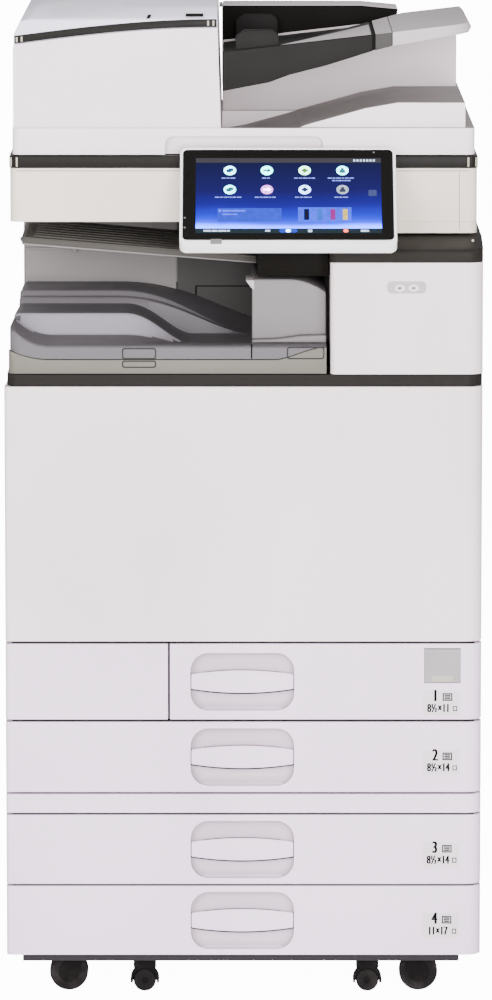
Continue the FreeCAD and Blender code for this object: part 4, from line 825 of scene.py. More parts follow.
# ---------------------------------------------------------------- sub-assemblies
@dataclass
class FrameNodes:
    """Frame nodes whose shape stays, each with its finish."""

    def dress(self) -> None:
        """Set the material of every node that shows as it is."""
        table = {
            Stock.DOOR: ["front_door", "left_cover", "right_cover", "right_door", "bypass_tray"],
            Stock.DRAWER: ["lower_left_cover", "bank_housing"],
            Stock.SCANNER: ["rear_cover"],
            Stock.WALL: ["cavity_back_wall", "inner_cover"],
            Stock.TRAY: ["tray_1_case", "tray_2_case", "tray_3_case", "tray_4_case"],
            Stock.TRIM: ["waist_trim", "laser_unit", "controller_box"],
            Stock.BLACK: ["drum_units", "transfer_unit", "fuser_unit", "adf_feed_roller"],
            Stock.GLASS: ["platen_glass"],
            Stock.FLAP: ["power_flap"],
            Stock.PANEL: ["power_button"],
            Stock.ZINC: ["main_frame", "drive_unit"],
            Stock.BOTTLES: ["toner_bottles"],
            Stock.PAD: ["platen_pad"],
            Stock.BEZEL: ["panel_glass"],
            Stock.CASTER: ["caster_fork_left", "caster_fork_right", "caster_brackets"],
            Stock.TYRE: ["caster_wheel_left", "caster_wheel_right", "inner_wheel_left", "inner_wheel_right",
                         "rear_wheel_left", "rear_wheel_right"],
            Stock.ROD: ["scan_carriage", "mirror_carriage"],
        }
        for stock, names in table.items():
            for name in names:
                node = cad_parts[name]
                node.data.materials.clear()
                node.data.materials.append(stock.value.material())
                alone(node)
                bpy.ops.object.shade_smooth_by_angle(angle=math.radians(30))
                LOG.info("%s keeps its shape, in %s", name, stock.value.name)


@dataclass
class PaperDrawers:
    """Fronts of the four paper drawers with their handle dishes, grips and legends."""

    handle_x: float = -1.5
    dish_w: float = 128.0
    dish_h: float = 72.0
    dish_r: float = 22.0
    dish_d: float = 18.0
    dish_floor_r: float = 13.0
    grip_h: float = 28.0
    bulge: float = 5.0
    grip_t: float = 8.0
    corner: float = 18.0
    legend_x: float = 237.5
    flap_x: float = 245.0
    flap_half: float = 22.5
    legends: tuple[str, ...] = ("8½×11", "8½×14", "8½×14", "11×17")

    def build(self) -> None:
        """Make all four fronts."""
        for number in range(1, 5):
            low, high = span(f"tray_{number}_front")
            self.front(number, low, high)
            self.grip(number, low.y, (low.z + high.z) / 2)
            self.legend(number, low.y, (low.z + high.z) / 2)

    def front(self, number: int, low: Vector, high: Vector) -> None:
        """Slab with rounded corners and the dish cut into it.

        Args:
            number: Number of the drawer, 1 to 4.
            low: Lowest corner, in millimetres.
            high: Highest corner, in millimetres.
        """
        name = f"drawer_{number}_front"
        piece = block(name, low, high)
        rounded_edges(piece, self.corner, 10, lambda a, b: abs(a.x - b.x) < 1 and min(a.x, b.x) > high.x - 1
                      and max(a.y, b.y) < low.y + 1)
        left = 1.0 if number == 1 else 6.0
        rounded_edges(piece, left, 5, lambda a, b: abs(a.z - b.z) > 9 and max(a.x, b.x) < low.x + 1
                      and max(a.y, b.y) < low.y + 1)
        rounded_edges(piece, 1.2, 3, lambda a, b: abs(a.z - b.z) < 1 and abs(a.y - b.y) < self.corner
                      and max(a.y, b.y) < high.y - 0.5 and self.on_rim(a, low, high)
                      and self.on_rim(b, low, high))
        cutters = [self.dish(low.y, (low.z + high.z) / 2)]
        if number == 1:
            top = high.z - 5
            cutters.append(block("cut", (self.flap_x - self.flap_half, low.y - 5, top - 44),
                                 (self.flap_x + self.flap_half, low.y + 8, top)))
            cutters.append(block("cut", (self.flap_x - 18, low.y - 5, top - 40),
                                 (self.flap_x + 18, high.y + 5, top - 12)))
        carved(piece, *cutters)
        settle(piece, f"drawer_{number}", Stock.DRAWER, f"tray_{number}_front", smooth=40)
        middle = (low.z + high.z) / 2
        # painted shade: the faces inside the handle dish get a darker white than the front
        paint_faces(piece, Stock.DISH, lambda c, n: abs(c.x - self.handle_x) < self.dish_w / 2 + 0.5
                    and c.y > low.y + 0.4
                    and c.y < low.y + self.dish_d + 0.5 and -0.5 < (c.z - middle) * 2 / self.dish_h + 0.45)

    @staticmethod
    def on_rim(spot: Vector, low: Vector, high: Vector) -> bool:
        """Whether a point lies on the slab's top or bottom."""
        return min(abs(spot.z - low.z), abs(spot.z - high.z)) < 0.5

    def dish(self, front: float, centre: float) -> Solid:
        """Rounded cutter of a handle dish.

        Args:
            front: Depth of the front face, in millimetres.
            centre: Height of its middle, in millimetres.

        Returns:
            The piece.
        """
        outline = rounded_rect(self.handle_x - self.dish_w / 2, self.handle_x + self.dish_w / 2,
                               centre - self.dish_h / 2, centre + self.dish_h / 2, self.dish_r, 8)
        cutter = drawn("cut", outline, Axis.Y, front - 6, front + self.dish_d)
        deep = front + self.dish_d
        return rounded_edges(cutter, self.dish_floor_r, 8, lambda a, b: min(a.y, b.y) > deep - 0.5)

    def grip(self, number: int, front: float, centre: float) -> None:
        """Lens-shaped bar with a crease along its upper third.

        Args:
            number: Number of the drawer, 1 to 4.
            front: Depth of the front face, in millimetres.
            centre: Height of its middle, in millimetres.
        """
        half = self.dish_w / 2 - 1.0
        rise = self.grip_h / 2
        radius = (half ** 2 + self.bulge ** 2) / (2 * self.bulge)
        swing = math.degrees(math.asin(half / radius))
        middle = radius - rise
        top = arc((self.handle_x, centre - middle), radius, 90 - swing, 90 + swing, 20)
        low = arc((self.handle_x, centre + middle), radius, 270 - swing, 270 + swing, 20)
        # painted shadow: a near-black outline behind the grip bar, a little larger than it, shows as a dark
        # line round the bar
        shadow = drawn(f"drawer_{number}_grip_shadow_outline", [(self.handle_x + (x - self.handle_x) * 1.02,
                                                      centre - 0.9 + (z - centre) * 1.07)
                                                     for x, z in top + low], Axis.Y, front + 3.0, front + 7.0)
        settle(softened(shadow, 0.3, 2), f"drawer_{number}", Stock.SEAM)
        bar = drawn(f"drawer_{number}_grip", top + low, Axis.Y, front + 0.4, front + 0.6 + self.grip_t)
        crease = centre + rise - 9
        with editing(bar):
            bpy.ops.mesh.bisect(plane_co=(0, 0, crease * MM), plane_no=(0, 0, 1))
        with editing(bar, Part.VERT, lambda p: p.z > crease + 1 and p.y < front + 2):
            bpy.ops.transform.translate(value=(0, 1.6 * MM, 0))
        softened(bar, 1.0, 3, 30)
        settle(bar, f"drawer_{number}", Stock.DRAWER, smooth=20)

    def legend(self, number: int, front: float, centre: float) -> None:
        """Drawer number, a paper-stack mark and the sheet size.

        Args:
            number: Number of the drawer, 1 to 4.
            front: Depth of the front face, in millimetres.
            centre: Height of the middle of the front, in millimetres.
        """
        body = f"drawer_{number}"
        drop = 19.0 if number == 1 else -6.0
        z = centre - drop if number == 1 else centre + 6.0 - 5.0
        plate = drawn(f"drawer_{number}_plate", rounded_rect(self.legend_x - 16, self.legend_x + 29, z - 23,
                                                             z + 8, 2), Axis.Y,
                      front - 0.05, front + 0.4)
        settle(plate, body, Stock.DECAL)
        letters = [self.words(str(number), self.legend_x - 1, z - 5.2, 15.5, front),
                   self.words(self.legends[number - 1], self.legend_x + 3.0, z - 18.8, 11.0, front),
                   block("mark", (self.legend_x + 20.5, front - 0.12, z - 17.6),
                         (self.legend_x + 26, front + 0.3, z - 16.4)),
                   block("mark", (self.legend_x + 20.5, front - 0.12, z - 12.5),
                         (self.legend_x + 26, front + 0.3, z - 11.3)),
                   block("mark", (self.legend_x + 20.5, front - 0.12, z - 17.6),
                         (self.legend_x + 21.7, front + 0.3, z - 11.3)),
                   block("mark", (self.legend_x + 24.8, front - 0.12, z - 17.6),
                         (self.legend_x + 26, front + 0.3, z - 11.3))]
        x = self.legend_x + 8
        marks = [((x, z - 4.8), (x + 12, z - 3.3)), ((x, z + 3.3), (x + 12, z + 4.8)),
                 ((x, z - 4.8), (x + 1.6, z + 4.8)),
                 ((x + 10.4, z - 4.8), (x + 12, z + 4.8))]
        marks += [((x + 2.4, z - 2.9 + 2.1 * i), (x + 9.6, z - 1.3 + 2.1 * i)) for i in range(3)]
        letters += [block("mark", (a[0], front - 0.12, a[1]), (b[0], front + 0.3, b[1])) for a, b in marks]
        settle(joined(f"drawer_{number}_legend", letters), body, Stock.INK)

    @staticmethod
    def words(text: str, x: float, z: float, height: float, front: float) -> Solid:
        """Raised print on a front.

        Args:
            text: Text to set.
            x: Place from left to right, in millimetres.
            z: Height of its foot or middle, in millimetres.
            height: Size of the letters, in millimetres.
            front: Depth of the front face, in millimetres.

        Returns:
            The piece.
        """
        bpy.ops.object.select_all(action="DESELECT")
        bpy.ops.object.text_add(location=(x * MM, (front - 0.05) * MM, z * MM), rotation=(math.pi / 2, 0, 0))
        letter = bpy.context.active_object
        letter.data.body = text
        letter.data.size = height * MM
        letter.scale = (0.86, 1.35, 1)
        letter.data.align_x = "CENTER"
        letter.data.extrude = 0.08 * MM
        letter.data.resolution_u = 3
        bpy.ops.object.convert(target="MESH")
        thin = named("words")
        shift = 0.055 * height
        return joined("words", [thin] + [moved_copy(thin, "words", (s * shift, 0, 0)) for s in (-1, 1)])


@dataclass
class Seams:
    """Dark strips in the gaps between the fronts, as painted shadow, and the sill under the lowest drawer, as
    a painted shadow line.
    """

    set_back: float = 5.0
    depth: float = 5.0
    play: float = 0.35

    def build(self) -> None:
        """One strip for each gap."""
        fronts = ["tray_4_front", "tray_3_front", "bank_housing", "tray_2_front", "tray_1_front",
                  "front_door",
                  "waist_trim"]
        front = span("tray_4_front")[0].y
        near, far = front + self.set_back, front + self.set_back + self.depth
        low, high = span("tray_4_front")
        levels = [(span(a)[1].z, span(b)[0].z) for a, b in zip(fronts, fronts[1:])]
        levels[1] = (span("tray_3_front")[1].z, span("tray_3_front")[1].z + 2.5)
        for index, (z0, z1) in enumerate(levels):
            # painted shadow: a strip behind each gap between the fronts, mid grey in the lowest gap and near
            # black in the others
            strip = block(f"gap_strip_{index + 1}", (low.x + 8, near, z0 + self.play),
                          (high.x - 9, far, z1 - self.play))
            settle(softened(strip, 0.25, 2), "chassis", Stock.SHADE if index == 0 else Stock.SEAM)
        left = span("lower_left_cover")
        # painted shadow in the upright gap beside the lower left cover
        post = block("gap_strip_upright", (left[1].x + 0.2, near, left[0].z + 1),
                     (span("tray_1_front")[0].x - 0.2, far,
                                                                                   left[1].z - 1))
        settle(softened(post, 0.25, 2), "chassis", Stock.SEAM)
        under = span("bank_housing")[0].z
        # painted shadow: a dark line under the lowest drawer
        sill = block("bank_underside_shadow", (low.x + 19.4, front + 11.2, under - 0.2),
                     (high.x - 26.4, front + 15.4, low.z - 1.2))
        settle(softened(sill, 0.5, 2), "chassis", Stock.SILL)


@dataclass
class SwitchFlap:
    """Things seen around the smoked flap of the main switch."""

    x: float = 245.0
    body: str = "drawer_1"

    def build(self) -> None:
        """Pull tab on the flap, and the switch's lamp behind it."""
        low, high = span("power_flap")
        tab = drawn("power_flap_tab", rounded_rect(self.x - 14, self.x + 14, low.z + 1, low.z + 8, 2.5),
                    Axis.Y,
                    low.y - 0.4, low.y + 1.0)
        settle(softened(tab, 0.3, 2), "power_flap", Stock.CLIP)
        button_low, button_high = span("power_button")
        centre = (button_low.z + button_high.z) / 2
        lamp = disc("power_lamp", (self.x, button_low.y - 0.2, centre + 4), 4.0, 0.8)
        settle(softened(lamp, 0.3, 2), "power_button", Glowing("lamp_rose", (226, 160, 165), 0.4))


@dataclass
class RightBlock:
    """White block beside the paper exit, its dark cap and the motion sensor."""

    sensor_x: float = 199.5
    sensor_z: float = 884.0

    def build(self) -> None:
        """Block, cap, sensor window and the cap's lamps."""
        settle(refined("right_front_cover", "exit_block_cover", 0), "chassis", Stock.DOOR,
               "right_front_cover")
        settle(refined("right_top_cover", "exit_block_cap", 1.4), "chassis", Stock.CAP, "right_top_cover")
        front = span("right_front_cover")[0].y
        self.sensor(front)
        top = span("right_top_cover")
        for index, x in enumerate((117.8, 280.0)):
            lamp = disc(f"cap_lamp_{index + 1}", (x, top[0].y - 0.1, 942.0), 1.5, 0.8)
            settle(softened(lamp, 0.25, 2), "chassis", Stock.CLIP)

    def sensor(self, front: float) -> None:
        """Window with two oval lenses in a soft surround.

        Args:
            front: Depth of the front face, in millimetres.
        """
        outline = rounded_rect(self.sensor_x - 24, self.sensor_x + 24, self.sensor_z - 7, self.sensor_z + 8,
                               6)
        window = drawn("sensor_window", outline, Axis.Y, front - 0.35, front + 2)
        cuts = [drawn("cut", [(self.sensor_x + s * 8.5 + 6.2 * a, self.sensor_z - 0.5 + 4.2 * b)
                              for a, b in arc((0, 0), 1, 0, 345, 23)], Axis.Y, front - 2, front + 1.4)
                for s in (-1, 1)]
        carved(window, *cuts)
        settle(softened(window, 0.3, 2, 40), "chassis", Stock.PALE)
        eyes = []
        for s in (-1, 1):
            bpy.ops.object.select_all(action="DESELECT")
            bpy.ops.mesh.primitive_uv_sphere_add(segments=24, ring_count=12, radius=1,
                                                 location=Vector((self.sensor_x + s * 8.5, front + 1.3,
                                                                  self.sensor_z - 0.5)) * MM,
                                                 scale=(5.6 * MM, 1.5 * MM, 3.7 * MM))
            eyes.append(named("eye"))
        settle(joined("sensor_lenses", eyes), "chassis", Stock.LENS)


@dataclass
class PaperExit:
    """Output trays, the walls around them and the exit tower."""

    left: float = -281.0
    right: float = 101.6
    front: float = -272.0
    floor_z: float = 795.4
    table_z: float = 853.0
    shelf_z: float = 838.0
    lip_z: float = 812.0
    low_z: float = 800.0
    columns: int = 90
    bow_r: float = 14.0

    def table(self, x: float, y: float) -> float:
        """Height of the table, which falls to the right in an S-curve.

        Args:
            x: Place from left to right, in millimetres.
            y: Place in depth, in millimetres.

        Returns:
            The value.
        """
        end = 10.0 + 40.0 * ease(y, -13, 97)
        t = min(1.0, max(0.0, (x + 165) / (end + 165))) ** 1.3
        return self.table_z - (self.table_z - self.low_z) * ease(t, 0, 1)

    def shelf(self, x: float) -> float:
        """Height of the shelf in front of the table."""
        t = min(1.0, max(0.0, (x + 150) / 85)) ** 1.2
        return self.shelf_z - (self.shelf_z - self.low_z) * ease(t, 0, 1)

    def sweep(self, x: float) -> float:
        """Rise of the lip at its left end."""
        t = min(1.0, max(0.0, (-238 - x) / 48))
        return 23.0 * t * t

    def rows(self) -> list[tuple[float, Callable[[float], float]]]:
        """Profile from back to front: place in depth and height over x.

        Returns:
            Place in depth and height over x of each row.
        """
        def step(x: float, drop: float) -> float:
            """Table height less a step that dies out to the right."""
            top = self.table(x, -13)
            return top - drop * (top - self.low_z) / (self.table_z - self.low_z)

        def foot(x: float) -> float:
            """Bottom of the pocket.

            Args:
                x: Place from left to right, in millimetres.

            Returns:
                The value.
            """
            share = (self.shelf(x) - self.low_z) / (self.shelf_z - self.low_z)
            base = self.low_z + (self.lip_z - self.low_z) * share
            return max(base, min(self.shelf(x), self.lip_z + self.sweep(x))) if x < -150 else base

        def lip(x: float) -> float:
            """Top of the lip."""
            return self.lip_z + self.sweep(x)
        return [
            (97, lambda x: self.table(x, 97)), (42, lambda x: self.table(x, 42)),
            (-8, lambda x: self.table(x, -8)),
            (-11, lambda x: step(x, 0.6)), (-13, lambda x: step(x, 2)), (-15, lambda x: step(x, 6)),
            (-17, lambda x: step(x, 7)), (-24, lambda x: step(x, 7)),
            (-26, lambda x: max(step(x, 7.6), self.shelf(x))),
            (-28, lambda x: max(step(x, 9), self.shelf(x))), (-31, lambda x: self.shelf(x) + 0.5),
            (-34, self.shelf), (-80, self.shelf), (-132, self.shelf), (-137, lambda x: self.shelf(x) - 0.5),
            (-141, lambda x: max(self.shelf(x) - 3, foot(x))),
            (-156, lambda x: foot(x) + 0.14 * max(0.0, self.shelf(x) - foot(x))),
            (-160, lambda x: foot(x) + 0.05 * max(0.0, self.shelf(x) - foot(x))), (-167, foot), (-205, foot),
            (-234, foot), (-240, lambda x: 0.5 * (foot(x) + lip(x))), (-244, lip), (-266, lip),
            (-270, lambda x: lip(x) - 0.5), (-272, lambda x: lip(x) - 2.5),
        ]

    def build(self) -> None:
        """All pieces of the paper exit."""
        self.tray()
        self.front_strip()
        self.tabs()
        self.tower()
        self.upper_tray()
        self.walls()

    def tray(self) -> None:
        """Main tray, shaped from a grid and closed below."""
        rows = self.rows()
        bpy.ops.object.select_all(action="DESELECT")
        bpy.ops.mesh.primitive_grid_add(x_subdivisions=self.columns, y_subdivisions=len(rows) - 1, size=1)
        piece = named("output_tray_shell")
        for vertex in piece.data.vertices:
            y, height = rows[round((0.5 - vertex.co.y) * (len(rows) - 1))]
            past = max(0.0, self.front + self.bow_r - y)
            bow = self.bow_r - math.sqrt(max(0.0, self.bow_r ** 2 - past ** 2))
            edge = self.left - 6 * ease(y, 90, -250) + bow
            x = edge + (self.right - edge) * (vertex.co.x + 0.5)
            fall = 3.0 * ease(x, edge + 5, edge)
            vertex.co = Vector((x, y, height(x) - fall)) * MM
        with editing(piece):
            bpy.ops.mesh.extrude_region_move(TRANSFORM_OT_translate={"value": (0, 0, -0.12)})
            bpy.ops.mesh.select_all(action="SELECT")
            bpy.ops.mesh.normals_make_consistent(inside=False)
        trimmed(piece, (0, 0, self.floor_z), (0, 0, -1))
        carved(piece, drawn("cut", self.strip_outline(1.2), Axis.Y, self.front - 8, self.front + 15))
        settle(piece, "chassis", Stock.TRAY, "output_tray", smooth=38)
        # painted light: the pocket's steep faces get a paler grey than the tray's flats
        paint_faces(piece, Stock.POCKET, lambda c, n: -166 < c.y < -138 and n.z < 0.9)
        # painted shadow: a near-black block in the gap beside the tray lip
        gap = block("tray_gap", (9.0, self.front - 0.3, self.floor_z + 1),
                    (10.8, self.front + 20, self.lip_z + 0.2))
        settle(softened(gap, 0.3, 2), "chassis", Stock.SEAM)

    def strip_outline(self, grow: float) -> list[Pair]:
        """Face of the strip under the lip, whose upper edge sweeps up at both ends.

        Args:
            grow: How far the outline is enlarged.

        Returns:
            The points in order.
        """
        low, high = span("cavity_front_panel")
        steps = 12
        top = self.floor_z - 0.6 + grow
        sweep = [(-238 - 50 * i / steps - grow * i / steps, top + 12.0 * (i / steps) ** 2)
                 for i in range(steps + 1)]
        return [(low.x + 1 - grow, low.z + 0.4), (high.x + grow, low.z + 0.4), (high.x + grow, top + 15.5),
                (91, top + 14.5), (78, top + 11), (55, top + 3), (42, top)] + sweep

    def front_strip(self) -> None:
        """Strip under the lip."""
        low = span("cavity_front_panel")[0]
        strip = drawn("tray_front_strip", self.strip_outline(0), Axis.Y, low.y, low.y + 14)
        rounded_edges(strip, 9, 6, lambda a, b: abs(a.z - b.z) > 9 and max(a.x, b.x) < low.x + 3
                      and max(a.y, b.y) < low.y + 1)
        softened(strip, 0.6, 2, 50)
        settle(strip, "chassis", Stock.STRIP, "cavity_front_panel", smooth=25)

    def tabs(self) -> None:
        """Two finger tabs that straddle the seam."""
        for index, (x0, x1, z0, z1) in enumerate(((-149, -107, 785, 809.6), (53, 99, 788, 811))):
            parts = []
            middle = self.floor_z - 0.5
            for side, (a, b) in enumerate(((z0, middle - 0.8), (middle + 0.8, z1))):
                outer = drawn("tab", rounded_rect(x0, x1, a, b, 3.2), Axis.Y, self.front - 0.6,
                              self.front + 6)
                inner = drawn("cut", rounded_rect(x0 + 1.6, x1 - 1.6, a + 1.6, b - 1.6, 2.2), Axis.Y,
                              self.front - 3, self.front + 1.2 + 2.0 * side)
                parts.append(softened(carved(outer, inner), 0.35, 2, 40))
            settle(joined(f"finger_tab_{index + 1}", parts), "chassis", Stock.RIM)

    def tower(self) -> None:
        """Exit tower with a crowned top, a black block over it as painted shadow of the recess above, and its
        guide nose.
        """
        low, high = span("exit_unit")
        x0, x1 = 10.4, self.right
        front = -215.0
        top = 888.0
        crown = [(x0 + 2, top)] + [(x0 + 46 + 45 * u, top - 16 * u * u) for u in (0, 0.2, 0.4, 0.6, 0.8, 1.0)]
        outline = [(x0, self.low_z), (x1, self.low_z)] + crown[::-1] + [(x0, top - 3)]
        tower = drawn("exit_tower", outline, Axis.Y, front, high.y)
        slot = block("cut", (x0 - 2, front + 30, 830), (x0 + 5, high.y - 20, 842))
        carved(tower, slot)
        settle(softened(tower, 2.2, 4, 40), "chassis", Stock.GREY, "exit_unit")
        # painted shadow: a black block stands for the dark recess over the tower
        recess_shadow = block("exit_recess_shadow", (x0 + 6, front - 5, top + 4), (x1 + 3.6, high.y, top + 48))
        settle(softened(recess_shadow, 1.5), "chassis", Stock.BLACK)
        nose = drawn("exit_nose", [(x0 - 8, top - 1), (x0 + 3, top - 1), (x0 + 3, top - 14),
                                   (x0 - 2, top - 9)], Axis.Y,
                     front - 2, front + 60)
        settle(softened(nose, 0.8), "chassis", Stock.PALE)
        skirt = drawn("exit_skirt", [(x0, 812), (x1, 812), (x1, 821), (x0 + 60, 820), (x0 + 30, 816),
                                     (x0, 815)], Axis.Y,
                      front - 20, front + 2)
        settle(softened(skirt, 3.0, 4), "chassis", Stock.GREY)

    def upper_tray(self) -> None:
        """Thin upper tray with ribs and a pale front edge."""
        tray = refined("upper_output_tray", "upper_tray_plate", 1.0)
        settle(tray, "chassis", Stock.UPPER, "upper_output_tray")
        low, high = span("upper_output_tray")
        fall = (high.z - low.z - 5) / (high.x - low.x)
        ribs = []
        for i in range(7):
            y = low.y + 14 + 30 * i
            outline = [(low.x + 14, high.z - 0.6), (high.x - 4, high.z - 0.6 - fall * (high.x - low.x - 12)),
                       (high.x - 4, high.z + 1.2 - fall * (high.x - low.x - 12)), (low.x + 20, high.z + 1.0)]
            ribs.append(drawn("rib", outline, Axis.Y, y, y + 3))
        settle(softened(joined("upper_tray_ribs", ribs), 0.5, 2), "chassis", Stock.UPPER)
        end_z = high.z - fall * (high.x - low.x)
        for name, above, below, stock in (("upper_tray_lip", 0.8, 7.4, Stock.UPPER),
                                          ("upper_tray_edge", 7.4, 9.4, Stock.GREY)):
            line = [(low.x + 1, high.z - below), (high.x, end_z - below * 0.75),
                    (high.x, end_z - above * 0.75),
                    (low.x + 3, high.z - above)]
            lip = drawn(name, line, Axis.Y, low.y - 0.8, low.y + 3)
            settle(softened(lip, 0.4, 2), "chassis", stock)

    def walls(self) -> None:
        """Panels, ledge and seams on the wall behind the trays; the darker panel on the right is painted
        shade.
        """
        y = 97.0
        panel = block("back_wall_panel", (-279, y - 3, 800), (-86, y + 0.5, 955))
        settle(softened(panel, 1.0), "chassis", Stock.WALL)
        # painted shade: a dark grey panel over the right-hand part of the wall
        deep = block("back_wall_recess_shade", (-85, y - 0.4, 800), (103, y + 0.6, 955))
        settle(softened(deep, 0.3, 2), "chassis", Stock.SHADE)
        ledge = [block("ledge", (-278, y - 9, 895), (-214, y - 2, 897)),
                 block("ledge", (-219, y - 12, 891), (-213, y - 2, 899))]
        settle(softened(joined("back_wall_ledge", ledge), 0.6, 2), "chassis", Stock.GREY)
        seams = [block("seam", (-86.6, y - 1.2, 836), (-84.8, y + 0.2, 852)),
                 block("seam", (-62, y - 1.2, 832), (-60, y + 0.2, 846)),
                 block("seam", (-62, y - 1.2, 846), (8, y + 0.2, 847.4))]
        settle(softened(joined("back_wall_seams", seams), 0.25, 2), "chassis", Stock.SEAM)


@dataclass
class Scanner:
    """Scanner body and the dark frame over it."""

    def build(self) -> None:
        """Body, frame, groove, end seam and pale marks painted as highlights at the frame's ends."""
        settle(refined("scanner_housing", "scanner_body", 0), "chassis", Stock.SCANNER, "scanner_housing")
        settle(refined("scanner_top_frame", "scanner_band", 1.2), "chassis", Stock.BAND, "scanner_top_frame")
        low, high = span("scanner_housing")
        front = -205.0
        groove = block("scanner_groove", (low.x + 9, front - 0.15, 1020.6), (high.x - 9, front + 1, 1021.5))
        settle(softened(groove, 0.2, 2), "chassis", Stock.GREY)
        seam = block("scanner_end_seam", (265.2, front - 0.12, low.z + 3), (266.1, front + 1, 1019.5))
        settle(softened(seam, 0.2, 2), "chassis", Stock.GREY)
        band_low, band_high = span("scanner_top_frame")
        # painted highlights: pale pins at the ends of the dark band stand for its glossy rounded ends
        # catching the light
        end_highlights = []
        for x in (band_low.x + 2.6, band_low.x + 9.6, band_high.x - 12.0, band_high.x - 2.8):
            inset = 2.6 if abs(x) > 283 else 0.0
            end_highlights.append(softened(block("clip", (x - 1.1, band_low.y + inset - 0.5, band_low.z + 1.6),
                                        (x + 1.1, band_low.y + inset + 2, band_high.z - 1.6)), 0.5, 2))
        settle(joined("band_end_highlights", end_highlights), "chassis", Stock.CLIP)


